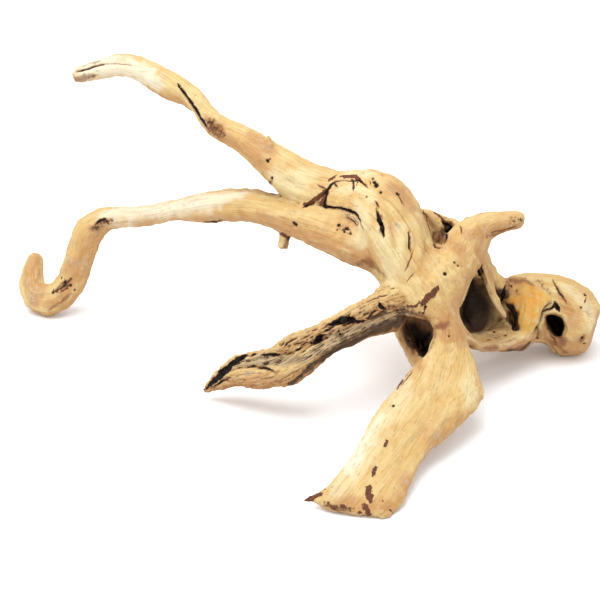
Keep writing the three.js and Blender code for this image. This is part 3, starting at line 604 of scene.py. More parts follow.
def cells(points, seed):
    """Distance from each point to the nearest of the seeds that are scattered one to a cell."""
    cell = np.floor(points).astype(np.int64)
    best = np.full(len(points), 9.0)
    for shift in np.ndindex(3, 3, 3):
        near = cell + np.array(shift) - 1
        pick = lattice(near, seed)
        place = near + 0.5 + 0.42 * NOISE_SLOPES[pick]
        best = np.minimum(best, np.linalg.norm(points - place, axis=1))
    return best


# Grain.
class Grain:
    """Where each vertex lies along and across the strands that it grew in."""

    STEP = 2.5
    SHARPNESS = 2.2
    LEAST_SHARE = 0.02
    CHUNK = 50000

    def __init__(self, points):
        self.names = list(GRAIN_LINES)
        self.local, self.heading, closeness = [], [], []
        for rows, twist, _channel in GRAIN_LINES.values():
            run = smooth_run(np.column_stack([spot(rows), np.asarray(rows)[:, 3]]), self.STEP)
            local, heading, reach = self.follow(points, run[:, :3], run[:, 3], math.radians(twist))
            self.local.append(local)
            self.heading.append(heading)
            closeness.append(reach)
        closeness = np.array(closeness)
        share = np.exp(-self.SHARPNESS * (closeness**2 - closeness.min(0) ** 2))
        self.share = share / share.sum(0)

    def follow(self, points, line, radius, twist):
        """Each point's place along and round a line, the line's heading, and the distance in radii."""
        ahead = np.gradient(line, axis=0)
        ahead /= np.linalg.norm(ahead, axis=1)[:, None]
        side = [np.cross(ahead[0], [0.0, 0.0, 1.0])]
        for direction in ahead[1:]:
            carried = side[-1] - direction * side[-1].dot(direction)
            side.append(carried / np.linalg.norm(carried))
        side = np.array(side) / np.linalg.norm(side[0])
        length = np.concatenate([[0], np.cumsum(np.linalg.norm(np.diff(line, axis=0), axis=1))])
        nearest = np.empty(len(points), np.int64)
        for start in range(0, len(points), self.CHUNK):
            part = points[start:start + self.CHUNK]
            gap = (line**2).sum(1)[None] - 2 * part @ line.T
            nearest[start:start + self.CHUNK] = gap.argmin(1)
        offset = points - line[nearest]
        along = (offset * ahead[nearest]).sum(1)
        beside = offset - along[:, None] * ahead[nearest]
        down = np.cross(ahead, side)[nearest]
        u, v = (beside * side[nearest]).sum(1), (beside * down).sum(1)
        s = length[nearest] + along
        turn = twist * s
        local = np.stack([s, u * np.cos(turn) - v * np.sin(turn), u * np.sin(turn) + v * np.cos(turn)], 1)
        beyond = np.where((nearest == 0) | (nearest == len(line) - 1), np.abs(along), 0)
        return local, ahead[nearest], np.hypot(np.linalg.norm(beside, axis=1), beyond) / radius[nearest]

    def noise(self, length, width, seed):
        """Noise that is stretched along the strands."""
        total = np.zeros(self.share.shape[1])
        power = np.zeros_like(total)
        for number, share in enumerate(self.share):
            near = share > self.LEAST_SHARE
            where = self.local[number][near] / [length, width, width] + 17.3 * number
            total[near] += share[near] * noise(where, seed + number)
            power[near] += share[near] ** 2
        return total / np.sqrt(power)

    def pits(self, length, width, seed):
        """Distance to scattered seeds that are stretched along the strands."""
        total = np.zeros(self.share.shape[1])
        for number, share in enumerate(self.share):
            near = share > self.LEAST_SHARE
            where = self.local[number][near] / [length, width, width] + 9.1 * number
            total[near] += share[near] * cells(where, seed + number)
        return total

    def of(self, *names):
        """How much each vertex belongs to the named strands."""
        return sum(self.share[self.names.index(name)] for name in names)

    def channel(self, number):
        """Place on the closest strand of a channel, and how much that channel has at each vertex."""
        members = [i for i, row in enumerate(GRAIN_LINES.values()) if row[2] == number]
        shares = self.share[members]
        best = shares.argmax(0)
        stacked = np.array([self.local[i] + 60.0 * i for i in members])
        return stacked[best, np.arange(shares.shape[1])], shares.sum(0)

    def headings(self):
        best = self.share.argmax(0)
        return np.array(self.heading)[best, np.arange(len(best))]


# Marks that lie on the skin.
class Skin:
    """The root's skin while it is shaped: its points, faces and a finder for places on it."""

    def __init__(self, piece, points):
        self.points = points
        self.wobble = 0.6 * noise(points / 2.2, 7) + 0.5 * noise(points / 5, 8)
        self.drift = 0.5 * noise(points / 6, 9) + 0.45 * noise(points / 15, 10)
        self.tree = BVHTree.FromObject(piece, bpy.context.evaluated_depsgraph_get())
        self.normals = read_normals(piece.data)

    def seen(self, across, rise):
        """The place on the skin that the measuring view sees there, or None."""
        aim = spot([(across, rise, 0)])[0] - EYE
        hit = self.tree.ray_cast(Vector(EYE * MM), Vector(aim).normalized())[0]
        return None if hit is None else np.array(hit) / MM

    def in_view(self, place):
        """True where nothing stands between the place and the measuring view."""
        aim = Vector(place - EYE)
        hit = self.tree.ray_cast(Vector(EYE * MM), aim.normalized())[0]
        reach = aim.length - VIEW_TOLERANCE
        return hit is not None and (np.array(hit) / MM - EYE).dot(aim.normalized()) > reach

    def lay(self, line, depth=0.0):
        """A line of (across, rise, half width) as rows of place, half width, depth, taper and heading."""
        run = np.asarray(line, float)
        run = smooth_run(np.insert(run, 2, 0, axis=1), MARK_SPACING)
        sway = noise(run[:, [0, 1, 2]] / 2.6 + 3.7, 11)
        run[:, 0] += 0.4 * sway
        run[:, 1] += 0.4 * noise(run[:, [1, 0, 2]] / 2.6 + 1.3, 12)
        run[:, 3] *= 1 + 0.35 * sway
        rows = []
        for number, row in enumerate(run):
            place = self.seen(row[0], row[1])
            if place is not None:
                share = number / max(1, len(run) - 1)
                taper = min(1, 5 * share, 5 * (1 - share)) if len(run) > 1 else 1
                rows.append([*place, row[3], depth, taper])
        return with_headings(np.array(rows).reshape(-1, 6))

    def closest(self, rows):
        """The vertices near any row, the row that is closest to each, and how far away it is."""
        finder = KDTree(len(rows))
        for number, row in enumerate(rows):
            finder.insert(row[:3], number)
        finder.balance()
        close = np.nonzero(near_any(self.points, rows[:, :3], 3 * rows[:, 3].max() + 2))[0]
        found = [finder.find(self.points[vertex])[1:] for vertex in close]
        return close, rows[[number for number, _ in found]], np.array([gap for _, gap in found])

    def nearness(self, rows):
        """Each vertex's distance to the closest row in half widths, and that row's depth and taper."""
        close, row, gap = self.closest(rows)
        gaps = np.full(len(self.points), 99.0)
        depths, tapers = np.zeros(len(self.points)), np.zeros(len(self.points))
        wobble = EDGE_WOBBLE * np.minimum(row[:, 3], 1) * self.wobble[close]
        gaps[close] = np.maximum(0, gap + wobble) / row[:, 3]
        depths[close], tapers[close] = row[:, 4], row[:, 5]
        return gaps, depths, tapers

    def sides(self, rows):
        """How far left or right of the closest line each vertex lies, and that line's half width."""
        close, row, gap = self.closest(rows)
        leftwards = np.cross(row[:, 6:9], self.normals[close])
        left = ((self.points[close] - row[:, :3]) * leftwards).sum(1) < 0
        aside, halves = np.full(len(self.points), 9.0), np.zeros(len(self.points))
        aside[close] = np.where(left, -gap, gap)
        halves[close] = row[:, 3] * (1 - smoothstep(0.9, 2.2, gap - row[:, 3]))
        return aside, halves

    def soft_mask(self, lines, spread=1.4):
        """A soft mask round measured lines."""
        gaps, _, _ = self.nearness(np.vstack([self.lay(line) for line in lines]))
        return np.exp(-((gaps * (1 + self.drift)) ** 2) / spread)


def with_headings(rows):
    """Rows of a line with the line's heading at each."""
    ahead = np.gradient(rows[:, :3], axis=0) if len(rows) > 1 else np.zeros((len(rows), 3))
    return np.hstack([rows, ahead / np.maximum(np.linalg.norm(ahead, axis=1), 1e-9)[:, None]])


def near_any(points, places, reach):
    """Which points lie in a cell of side reach that holds one of the places, or next to one."""
    key = lambda cell: (cell[:, 0] * CELLS_A_SIDE + cell[:, 1]) * CELLS_A_SIDE + cell[:, 2]
    filled = np.floor(places / reach).astype(np.int64) + FIRST_CELL
    around = np.vstack([filled + np.array(shift) - 1 for shift in np.ndindex(3, 3, 3)])
    return np.isin(key(np.floor(points / reach).astype(np.int64) + FIRST_CELL), np.unique(key(around)))


def wander(skin, headings, start, length, half, depth, rng):
    """A line that follows the grain over the skin from a vertex, thin at both ends."""
    place, rows, way = skin.points[start].copy(), [], rng.choice([-1, 1])
    heading = headings[start] * way
    count = max(2, int(length / MARK_SPACING))
    for number in range(count):
        hit, normal, _face, _gap = skin.tree.find_nearest(Vector(place * MM))
        place = np.array(hit) / MM
        taper = math.sin(math.pi * (number + 0.5) / count) ** 0.6
        rows.append([*place, half * taper, depth * taper, taper])
        normal = np.array(normal)
        ahead = heading + 0.12 * rng.normal(size=3)
        ahead -= normal * ahead.dot(normal)
        heading = 0.9 * heading + 0.1 * ahead / np.linalg.norm(ahead)
        place = place + MARK_SPACING * ahead / np.linalg.norm(ahead)
    return with_headings(np.array(rows))


def scattered(skin, headings, rng, number, lengths, halves, depths):
    """Marks strewn over the skin along the grain, and next to none where the measuring view sees."""
    lines = []
    while len(lines) < number:
        start = rng.integers(len(skin.points))
        keep = rng.random() < SEEN_SHARE
        if skin.points[start, 2] < TABLE_CLEARANCE or (not keep and skin.in_view(skin.points[start])):
            continue
        length, half, depth = (rng.uniform(*span) for span in (lengths, halves, depths))
        lines.append(wander(skin, headings, start, length, half, depth, rng))
    return lines


# The skin of the root.
def fillet(points, edges, normals, shape):
    """Rounds creases and edges within their limits and evens the skin, but spares the thin peg."""
    moved = relax(points, edges, shape.fillet_passes) - points
    height = (moved * normals).sum(1)
    worn = np.zeros(len(points))
    for across, rise, near, radius in WORN_ROUND:
        gap = np.linalg.norm(points - spot([(across, rise, near)])[0], axis=1) / radius
        worn = np.maximum(worn, 1 - smoothstep(0.6, 1.1, gap))
    filled = np.clip(height, -shape.edge_rounding / MM * (1 + 1.8 * worn), shape.crease_filling / MM)
    filled = relax(filled, edges, FILLING_PASSES)
    thin = spot([THIN_PEG[:3]])[0]
    spared = smoothstep(0.7, 1.2, np.linalg.norm(points - thin, axis=1) / THIN_PEG[3])
    rounded = relax(points, edges, SKIN_PASSES)
    points = rounded + (points - rounded) * spared[:, None]
    return points + normals * (filled * spared + 0.25 * shape.edge_rounding / MM)[:, None]


def crest_share(points):
    """How far up on the weathered limb a place is, from 0 on its side to 1 on its worn top."""
    line = smooth_run(spot(GRAIN_LINES["weathered limb"][0]), 4)
    gap = (line**2).sum(1)[None] - 2 * points @ line.T
    return smoothstep(-2, 7, points[:, 2] - line[gap.argmin(1), 2])


def swell(grain, points, shape):
    """How far the grown surface stands out from the plain one: lumps, sinews, furrows and rot."""
    # Each grain noise has the length and width of its forms in millimetres, and a seed of its own.
    rotten = smoothstep(0.35, 0.8, grain.of("weathered limb"))
    sound = 1 - rotten
    height = shape.lump_height / MM * (noise(points / 27, 3) + 0.5 * noise(points / 13 + 5, 4))
    height += shape.dent_height / MM * (noise(points / 6.5 + 9, 5) + 0.5 * noise(points / 3.2 + 2, 6))
    sinews = grain.noise(75, 10, 20) + 0.45 * grain.noise(48, 5.5, 40)
    furrows = 1 - np.clip(np.abs(grain.noise(60, 8, 60)) / 0.16, 0, 1)
    height += shape.sinew_height / MM * sound * (sinews - 0.55 * furrows**2)
    height += shape.fibre_height / MM * sound * grain.noise(26, 3.0, 80)
    nicks = smoothstep(0.34, 0.1, grain.pits(13, 3.4, 160))
    nicks *= smoothstep(0.05, 0.5, noise(points / 15 + 4, 13))
    height -= shape.nick_depth / MM * sound * nicks
    ribs = 1 - 2 * np.abs(grain.noise(38, 4.2, 100))
    grooves = smoothstep(0.16, 0.0, np.abs(grain.noise(34, 4.6, 180)))
    crest = crest_share(points)
    comb = smoothstep(0.42, 0.2, grain.pits(8, 3.4, 140)) * crest
    frayed = 0.5 * crest * noise(points / 3.4, 14)
    fibres = 0.5 * ribs + 0.3 * grain.noise(22, 2.6, 120)
    height += shape.rot_height / MM * rotten * (fibres + frayed - 0.7 * grooves - 1.3 * comb)
    return height, rotten


def carve(skin, headings, shape, rng):
    """Lays ridges, cracks, holes and bark: the height, where the cuts lie and where the bark is."""
    raised = np.zeros(len(skin.points))
    for height, line in RIDGES:
        gaps, _, tapers = skin.nearness(skin.lay(line))
        raised += height * tapers * np.exp(-gaps**2 / 1.6)
    cut = [skin.lay(line, depth) for depth, line in CRACKS]
    cut += [skin.lay([(across, rise, half + PIT_EDGE)], 1.6 * half) for across, rise, half in HOLES]
    cut += scattered(skin, headings, rng, *STREWN_CRACKS)
    cut += scattered(skin, headings, rng, *STREWN_PITS)
    cut = np.vstack(cut)
    aside, halves = skin.sides(cut)
    cut[:, 3] = np.maximum(cut[:, 3], LEAST_CUT)
    gaps, depths, tapers = skin.nearness(cut)
    raised -= depths * np.exp(-(gaps**2) / 1.1)
    scraps = [skin.lay(line) for line in BARK]
    scraps += scattered(skin, headings, rng, *STREWN_BARK)
    gaps, _, _ = skin.nearness(np.vstack(scraps))
    bark = 1 / (1 + gaps**3)
    raised += shape.bark_thickness / MM * smoothstep(0.35, 0.6, bark) * (np.abs(aside) > halves + 0.5)
    rough = skin.soft_mask(ROUGH)
    bumps = 0.7 * noise(skin.points / 2.4, 15) - 1.1 * smoothstep(0.4, 0.15, cells(skin.points / 2.8, 16))
    raised += shape.rough_height / MM * rough * bumps
    return raised, (aside, halves, rough), bark


def inside_hollows(points):
    """How near each vertex is to the heart of a hollow, from 0 to 1."""
    share = np.zeros(len(points))
    for line in HOLLOW_HEARTS:
        run = smooth_run(np.column_stack([spot(line), np.asarray(line, float)[:, 3]]), 3)
        for row in run:
            gap = np.linalg.norm(points - row[:3], axis=1) / row[3]
            share = np.maximum(share, 1 - smoothstep(0.8, 1.7, gap))
    return share


def openness(piece, points, normals, rng):
    """How much of the sky over each vertex is free of wood within reach, from 0 to 1 in the open: the
    measure of the painted shade in hollows and creases.
    """
    tree = BVHTree.FromObject(piece, bpy.context.evaluated_depsgraph_get())
    picked = np.arange(0, len(points), OPEN_EVERY)
    rays = rng.normal(size=(OPEN_RAYS, 3))
    rays /= np.linalg.norm(rays, axis=1)[:, None]
    finder = KDTree(len(picked))
    free = np.empty(len(picked))
    for number, vertex in enumerate(picked):
        finder.insert(points[vertex], number)
        start = Vector((points[vertex] + OPEN_LIFT * normals[vertex]) * MM)
        total = blocked = 0.0
        for ray in rays * np.sign(rays @ normals[vertex])[:, None]:
            weight = ray.dot(normals[vertex])
            total += weight
            if tree.ray_cast(start, Vector(ray), OPEN_REACH * MM)[0] is not None:
                blocked += weight
        free[number] = 1 - blocked / total
    finder.balance()
    return np.array([np.mean([free[i] for _, i, _ in finder.find_n(point, 3)]) for point in points])


def deselect_all():
    if bpy.context.mode != "OBJECT":
        bpy.ops.object.mode_set(mode="OBJECT")
    bpy.ops.object.select_all(action="DESELECT")


def only(piece):
    """Makes a piece the one that the next operators act on."""
    deselect_all()
    piece.select_set(True)
    bpy.context.view_layer.objects.active = piece


def skin_copy(node, name):
    """A copy of a CAD node as a mesh of its own, with its doubles merged."""
    piece = frame["nodes"][node].copy()
    piece.data = frame["nodes"][node].data.copy()
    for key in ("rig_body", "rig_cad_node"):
        piece.pop(key, None)
    piece.name = piece.data.name = name
    piece.parent = None
    bpy.context.scene.collection.objects.link(piece)
    piece.data.materials.clear()
    only(piece)
    bpy.ops.object.mode_set(mode="EDIT")
    bpy.ops.mesh.select_all(action="SELECT")
    bpy.ops.mesh.remove_doubles(threshold=WELD * MM)
    bpy.ops.object.mode_set(mode="OBJECT")
    return piece


def finish_with(piece, kind, **options):
    """Puts a modifier on a piece and applies it."""
    only(piece)
    modifier = piece.modifiers.new(kind.title(), kind)
    for option, value in options.items():
        setattr(modifier, option, value)
    bpy.ops.object.modifier_apply(modifier=modifier.name)


def drop_scraps(piece):
    """Deletes loose scraps of mesh that lie sealed inside the wood."""
    mesh = piece.data
    edges = read_edges(mesh)
    label = np.arange(len(mesh.vertices))
    while True:
        lowest = np.minimum(label[edges[:, 0]], label[edges[:, 1]])
        before = label.copy()
        np.minimum.at(label, edges[:, 0], lowest)
        np.minimum.at(label, edges[:, 1], lowest)
        label = label[label]
        if np.array_equal(before, label):
            break
    loose = label != np.bincount(label).argmax()
    only(piece)
    bpy.ops.object.mode_set(mode="EDIT")
    bpy.ops.mesh.select_mode(type="VERT")
    bpy.ops.mesh.select_all(action="DESELECT")
    bpy.ops.object.mode_set(mode="OBJECT")
    mesh.vertices.foreach_set("select", loose)
    bpy.ops.object.mode_set(mode="EDIT")
    bpy.ops.mesh.delete(type="VERT")
    bpy.ops.object.mode_set(mode="OBJECT")


def grow_root(shape):
    """The whole root: the CAD skin remeshed, filleted, swollen along its grain and carved."""
    rng = np.random.default_rng(SEED)
    piece = skin_copy("spiderwood_root", "root_wood")
    voxel = shape.voxel
    finish_with(piece, "REMESH", mode="VOXEL", voxel_size=voxel, use_smooth_shade=True)
    drop_scraps(piece)
    mesh = piece.data
    edges = read_edges(mesh)
    points = fillet(read_points(mesh), edges, read_normals(mesh), shape)
    write_points(mesh, points)
    grain = Grain(points)
    height, rotten = swell(grain, points, shape)
    points = points + height[:, None] * read_normals(mesh)
    write_points(mesh, points)
    skin = Skin(piece, points)
    headings = grain.headings()
    raised, cut, bark = carve(skin, headings, shape, rng)
    steady = relax(skin.normals, edges, STEADY_PASSES)
    steady /= np.linalg.norm(steady, axis=1)[:, None]
    points = points + raised[:, None] * steady
    low, high = (np.array(corner) / MM for corner in CAD_BOX)
    points = np.clip(points, low, high)
    write_points(mesh, points)
    normals = read_normals(mesh)
    fine = ((points - relax(points, edges, FINE_PASSES)) * normals).sum(1)
    broad = ((points - relax(points, edges, BROAD_PASSES)) * normals).sum(1)
    store_three(mesh, "relief", (fine, broad, rotten))
    store_three(mesh, "cuts", cut)
    # The dusky mask is partly painted shade on lower edges.
    store_three(mesh, "marks", (skin.soft_mask(DUSKY), bark, skin.soft_mask(GREY)))
    # The tan mask here is partly painted shade.
    store_three(mesh, "tints_and_shade", (skin.soft_mask(RUSSET), skin.soft_mask(AMBER, 2.0), skin.soft_mask(TAN, 2.2)))
    floor = skin.soft_mask(HOLLOW_FLOOR, 2.0)
    store(mesh, "hollow", inside_hollows(points) * (1 - floor))
    store(mesh, "floor", floor)
    store(mesh, "light_edge", skin.soft_mask(LIGHT_EDGES))
    # How far each vertex is turned to the key light, kept with the pale and white patches: all three paint
    # light into the colour.
    light_facing = relax(steady @ TOWARDS_PAINTED_LIGHT, edges, LIGHT_FACING_PASSES)
    store_three(mesh, "sun", (light_facing, skin.soft_mask(PAINTED_HIGHLIGHTS, 2.2), skin.soft_mask(PAINTED_WHITE_HIGHLIGHTS, 4.0)))
    shares = []
    for channel in range(3):
        local, share = grain.channel(channel)
        store(mesh, f"grain_{channel}", local)
        shares.append(share)
    store_three(mesh, "strands", shares)
    triangles = sum(len(face.vertices) - 2 for face in mesh.polygons)
    if triangles > shape.most_triangles:
        finish_with(piece, "DECIMATE", ratio=shape.most_triangles / triangles)
        drop_scraps(piece)
    mesh = piece.data
    # The openness measures the painted shade of hollows and creases in the colour.
    free = openness(piece, read_points(mesh), read_normals(mesh), rng)
    store(mesh, "openness", relax(free, read_edges(mesh), OPEN_PASSES))
    only(piece)
    bpy.ops.object.shade_smooth()
    return piece


# Materials.
class Graph:
    """Short ways to build a material's nodes."""

    def __init__(self, name):
        self.material = bpy.data.materials.new(name)
        self.material.use_nodes = True
        self.tree = self.material.node_tree
        self.shader = self.tree.nodes["Principled BSDF"]

    def add(self, kind, inputs=None, **settings):
        node = self.tree.nodes.new(kind)
        for key, value in settings.items():
            setattr(node, key, value)
        for socket, value in (inputs or {}).items():
            self.give(node.inputs[socket], value)
        return node

    def give(self, socket, value):
        """Links a socket, or sets a number, a vector, or a colour of three parts."""
        if isinstance(value, bpy.types.NodeSocket):
            self.tree.links.new(value, socket)
        elif socket.type == "RGBA":
            socket.default_value = (*value[:3], 1.0)
        else:
            socket.default_value = value

    def sums(self, operation, a, b=0.0):
        return self.add("ShaderNodeMath", {0: a, 1: b}, operation=operation).outputs[0]

    def plus(self, first, second):
        return self.sums("ADD", first, second)

    def times(self, first, second):
        return self.sums("MULTIPLY", first, second)

    def span(self, value, low, high, to_low=0.0, to_high=1.0):
        """The value's place between low and high, eased, from to_low to to_high."""
        inputs = {"Value": value, 1: low, 2: high, 3: to_low, 4: to_high}
        return self.add("ShaderNodeMapRange", inputs, interpolation_type="SMOOTHSTEP").outputs[0]

    def blend(self, share, first, second):
        node = self.add("ShaderNodeMix", data_type="RGBA", clamp_factor=True)
        for socket, value in ((0, share), (6, first), (7, second)):
            self.give(node.inputs[socket], value)
        return node.outputs[2]

    def lay(self, tone, colour, value, low, high, most=1.0):
        """A tone under a colour whose share grows to most as the value goes from low to high."""
        return self.blend(self.span(value, low, high, 0, most), tone, colour)

    def attribute(self, name):
        return self.add("ShaderNodeAttribute", attribute_name=name)

    def parts(self, name):
        return self.add("ShaderNodeSeparateColor", {0: self.attribute(name).outputs["Color"]}).outputs

    def scaled(self, vector, factors):
        return self.add("ShaderNodeVectorMath", {0: vector, 1: factors}, operation="MULTIPLY").outputs[0]

    def noise(self, vector, scale=1.0, detail=2.0, roughness=0.5):
        inputs = {"Vector": vector, "Scale": scale, "Detail": detail, "Roughness": roughness}
        return self.add("ShaderNodeTexNoise", inputs).outputs["Fac"]


def along_grain(graph, length, width, detail):
    """Streaks that follow every strand, about 0.5 in the mean."""
    shares = graph.parts("strands")
    total = None
    for channel in range(3):
        local = graph.attribute(f"grain_{channel}").outputs["Vector"]
        streak = graph.noise(graph.scaled(local, (1 / length, 1 / width, 1 / width)), 1.0, detail, 0.55)
        part = graph.times(streak, shares[channel])
        total = part if total is None else graph.plus(total, part)
    return total


def bleached_wood(finish):
    """Bleached wood: cream with russet and amber patches, grey rot, bark and dark cracks, and painted
    light: tan and near-black painted shade in furrows, hollows and on undersides, painted highlights on lit
    tops, ridges and edges.
    """
    graph = Graph("bleached_wood")
    place = graph.add("ShaderNodeTexCoord").outputs["Object"]
    dusky, bark, grey = graph.parts("marks")[:3]
    aside, half, rough = graph.parts("cuts")[:3]
    floor = graph.attribute("floor").outputs["Fac"]
    light_edge = graph.attribute("light_edge").outputs["Fac"]
    fine, broad, rotten = graph.parts("relief")[:3]
    russet, amber, tan = graph.parts("tints_and_shade")[:3]
    hollow = graph.attribute("hollow").outputs["Fac"]
    # Painted light: the share turned to the key light, and the patches of painted highlight.
    light_facing, pale, highlight_white = graph.parts("sun")[:3]
    free = graph.attribute("openness").outputs["Fac"]
    mottle = graph.noise(place, 52, 5, 0.6)
    patches = graph.noise(place, 120, 4, 0.6)
    specks = graph.noise(place, 620, 2, 0.5)
    speckle = graph.noise(place, 480, 3, 0.6)
    grit = graph.noise(place, 900, 3, 0.6)
    streaks = along_grain(graph, 26, 1.1, 2)
    bands = along_grain(graph, 70, 6, 2)
    fibres = along_grain(graph, 60, 0.9, 2)

    rough_edge = graph.times(graph.sums("SUBTRACT", graph.noise(place, 380, 3, 0.6), 0.5), 0.6)
    soft_edge = graph.plus(graph.times(mottle, 0.9), patches)
    soft_edge = graph.sums("SUBTRACT", soft_edge, 0.95)
    ragged_edge = graph.plus(rough_edge, soft_edge)

    tone = graph.lay(finish.cream, finish.straw, bands, 0.36, 0.64)
    tone = graph.lay(tone, finish.honey, mottle, 0.42, 0.68, 0.85)
    tone = graph.lay(tone, finish.gold, patches, 0.52, 0.7, 0.6)
    # Painted shade: biscuit on the tan patches and on sides turned from the key light; on the rotten limb,
    # more biscuit the further it turns from the light.
    shaded = graph.sums("MAXIMUM", tan, graph.span(light_facing, 0.5, -0.6, 0, 1.0))
    worn = graph.times(rotten, graph.span(light_facing, 0.3, 0.9, 0.85, 0.2))
    warm = graph.sums("MAXIMUM", graph.plus(shaded, soft_edge), worn)
    tone = graph.lay(tone, finish.biscuit, warm, 0.0, 1.0, 0.9)
    # Painted highlight: bleached tone on tops turned to the key light and on the pale patches, not on the
    # rotten limb.
    sun = graph.plus(graph.sums("MAXIMUM", pale, graph.span(light_facing, 0.7, 1.0, 0, 0.15)), soft_edge)
    sun = graph.times(graph.span(sun, 0.05, 1.0), graph.sums("SUBTRACT", 1.0, rotten))
    tone = graph.blend(graph.times(sun, 0.65), tone, finish.bleached)
    # Painted highlight: near-white patches on the brightest lit tops.
    white_highlight_share = graph.plus(highlight_white, soft_edge)
    tone = graph.lay(tone, finish.highlight_white, white_highlight_share, -0.1, 1.2, 0.9)
    tone = graph.lay(tone, finish.tan, streaks, 0.5, 0.78, 0.55)
    tone = graph.lay(tone, finish.bleached, streaks, 0.46, 0.24, 0.3)
    # Painted shade: biscuit in fine creases and tan in broad furrows; painted highlight: bleached tone on
    # fine and broad ridges, less on the rotten limb.
    tone = graph.lay(tone, finish.biscuit, fine, -0.12, -0.5, 0.5)
    tone = graph.lay(tone, finish.tan, broad, -0.4, -2.0, 0.65)
    fine_ridge, broad_ridge = graph.span(fine, 0.08, 0.35, 0, 0.4), graph.span(broad, 0.4, 1.8, 0, 0.4)
    ridge = graph.sums("MAXIMUM", fine_ridge, broad_ridge)
    ridge = graph.times(ridge, graph.sums("SUBTRACT", 1.0, graph.times(rotten, 0.4)))
    tone = graph.blend(ridge, tone, finish.bleached)
    tone = graph.lay(tone, finish.russet, specks, 0.68, 0.76, 0.55)

    russet_share = graph.plus(russet, ragged_edge)
    tone = graph.lay(tone, finish.russet, russet_share, 0.1, 1.1, 0.75)
    glow = graph.plus(amber, rough_edge)
    amber_mix = graph.plus(graph.times(streaks, 0.25), graph.times(patches, 0.75))
    amber_tone = graph.lay(finish.gold, finish.amber, amber_mix, 0.4, 0.6)
    amber_tone = graph.lay(amber_tone, finish.biscuit, mottle, 0.5, 0.7, 0.6)
    tone = graph.lay(tone, amber_tone, glow, 0.25, 0.8, 0.9)
    # Painted highlight on the thin edges that catch the light.
    tone = graph.lay(tone, finish.bleached, light_edge, 0.3, 0.9, 0.6)
    # Painted shade: tan on the underside of the rotten limb.
    belly = graph.times(rotten, graph.span(light_facing, 0.35, -0.3))
    tone = graph.blend(graph.times(belly, 0.6), tone, finish.tan)

    rot_tone = graph.lay(finish.grey, finish.dusk, fibres, 0.44, 0.7)
    rot_tone = graph.lay(rot_tone, finish.tan, bands, 0.5, 0.7, 0.5)
    rot_share = graph.plus(grey, ragged_edge)
    tone = graph.lay(tone, rot_tone, rot_share, 0.25, 0.9, 0.9)
    # Dusky tone: dark wood with painted shade on lower edges.
    dusk_share = graph.plus(dusky, ragged_edge)
    dusk_tone = graph.lay(finish.dusk, finish.umber, fibres, 0.4, 0.62)
    tone = graph.lay(tone, dusk_tone, dusk_share, 0.15, 0.85, 0.95)
    # Dark grain lines of the rotten limb, and painted shade in its fine furrows.
    grain_lines = graph.times(rotten, graph.span(fibres, 0.54, 0.66, 0, 0.6))
    rot_furrow = graph.sums("MAXIMUM", grain_lines, graph.times(rotten, graph.span(fine, -0.15, -0.7)))
    tone = graph.blend(graph.times(rot_furrow, 0.85), tone, finish.umber)

    # Painted shade: russet, then near black, where little sky is open over the skin, less on the hollow
    # floor.
    depth = graph.plus(free, graph.times(rough_edge, 0.25))
    depth = graph.plus(depth, graph.times(floor, 0.3))
    tone = graph.lay(tone, finish.russet, depth, 0.62, 0.3, 0.75)
    tone = graph.lay(tone, finish.hollow, depth, 0.34, 0.08, 0.95)
    # Hollow hearts: darker inner wood with painted shade, darkest where the least sky is open.
    sheltered = graph.times(hollow, graph.span(depth, 0.9, 0.55))
    heart_tone = graph.lay(finish.umber, finish.dusk, mottle, 0.4, 0.6)
    heart_tone = graph.lay(heart_tone, finish.hollow, depth, 0.5, 0.25)
    tone = graph.lay(tone, heart_tone, sheltered, 0.05, 0.6, 0.96)
    floor_tone = graph.lay(finish.tan, finish.dusk, patches, 0.35, 0.65)
    floor_tone = graph.lay(floor_tone, finish.grey, mottle, 0.5, 0.62, 0.7)
    floor_tone = graph.lay(floor_tone, finish.umber, speckle, 0.5, 0.7, 0.6)
    floor_edge = graph.plus(floor, ragged_edge)
    tone = graph.lay(tone, floor_tone, floor_edge, 0.3, 1.1, 0.85)

    frayed = graph.times(graph.span(rough, 0.2, 0.9), graph.span(speckle, 0.44, 0.6, 0, 0.85))
    tone = graph.blend(frayed, tone, finish.umber)
    ragged = graph.times(graph.sums("SUBTRACT", speckle, 0.5), 1.3)
    bark_edge = graph.plus(bark, graph.plus(rough_edge, ragged))
    bark_tone = graph.lay(finish.bark, finish.umber, grit, 0.4, 0.7, 0.8)
    bark_share = graph.span(bark_edge, 0.42, 0.52)
    tone = graph.blend(bark_share, tone, bark_tone)
    # Cuts: a russet halo and a near-black core; the core is painted shade over the darker wood inside.
    aside = graph.plus(graph.sums("ABSOLUTE", aside), graph.times(rough_edge, 0.8))
    inside = graph.sums("SUBTRACT", half, aside)
    present = graph.span(half, 0.05, 0.4)
    halo = graph.times(present, graph.span(inside, -0.9, 0.05, 0, 0.7))
    tone = graph.blend(halo, tone, finish.russet)
    core = graph.times(graph.span(half, 0.05, 0.2), graph.span(inside, -0.1, 0.12))
    core_tone = graph.lay(finish.russet, finish.hollow, half, 0.25, 0.7)
    tone = graph.blend(core, tone, core_tone)
    graph.give(graph.shader.inputs["Base Color"], tone)

    roughness = graph.blend(bark_share, [WOOD_ROUGHNESS] * 3, [BARK_ROUGHNESS] * 3)
    graph.give(graph.shader.inputs["Roughness"], roughness)
    graph.shader.inputs["Specular IOR Level"].default_value = WOOD_SHINE
    height = graph.plus(graph.times(streaks, 0.8), graph.times(grit, 0.3))
    height = graph.plus(height, graph.times(speckle, 0.35))
    bump = graph.add("ShaderNodeBump", {"Height": height, "Strength": 0.85, "Distance": BUMP_HEIGHT * MM})
    graph.give(graph.shader.inputs["Normal"], bump.outputs["Normal"])
    return graph.material


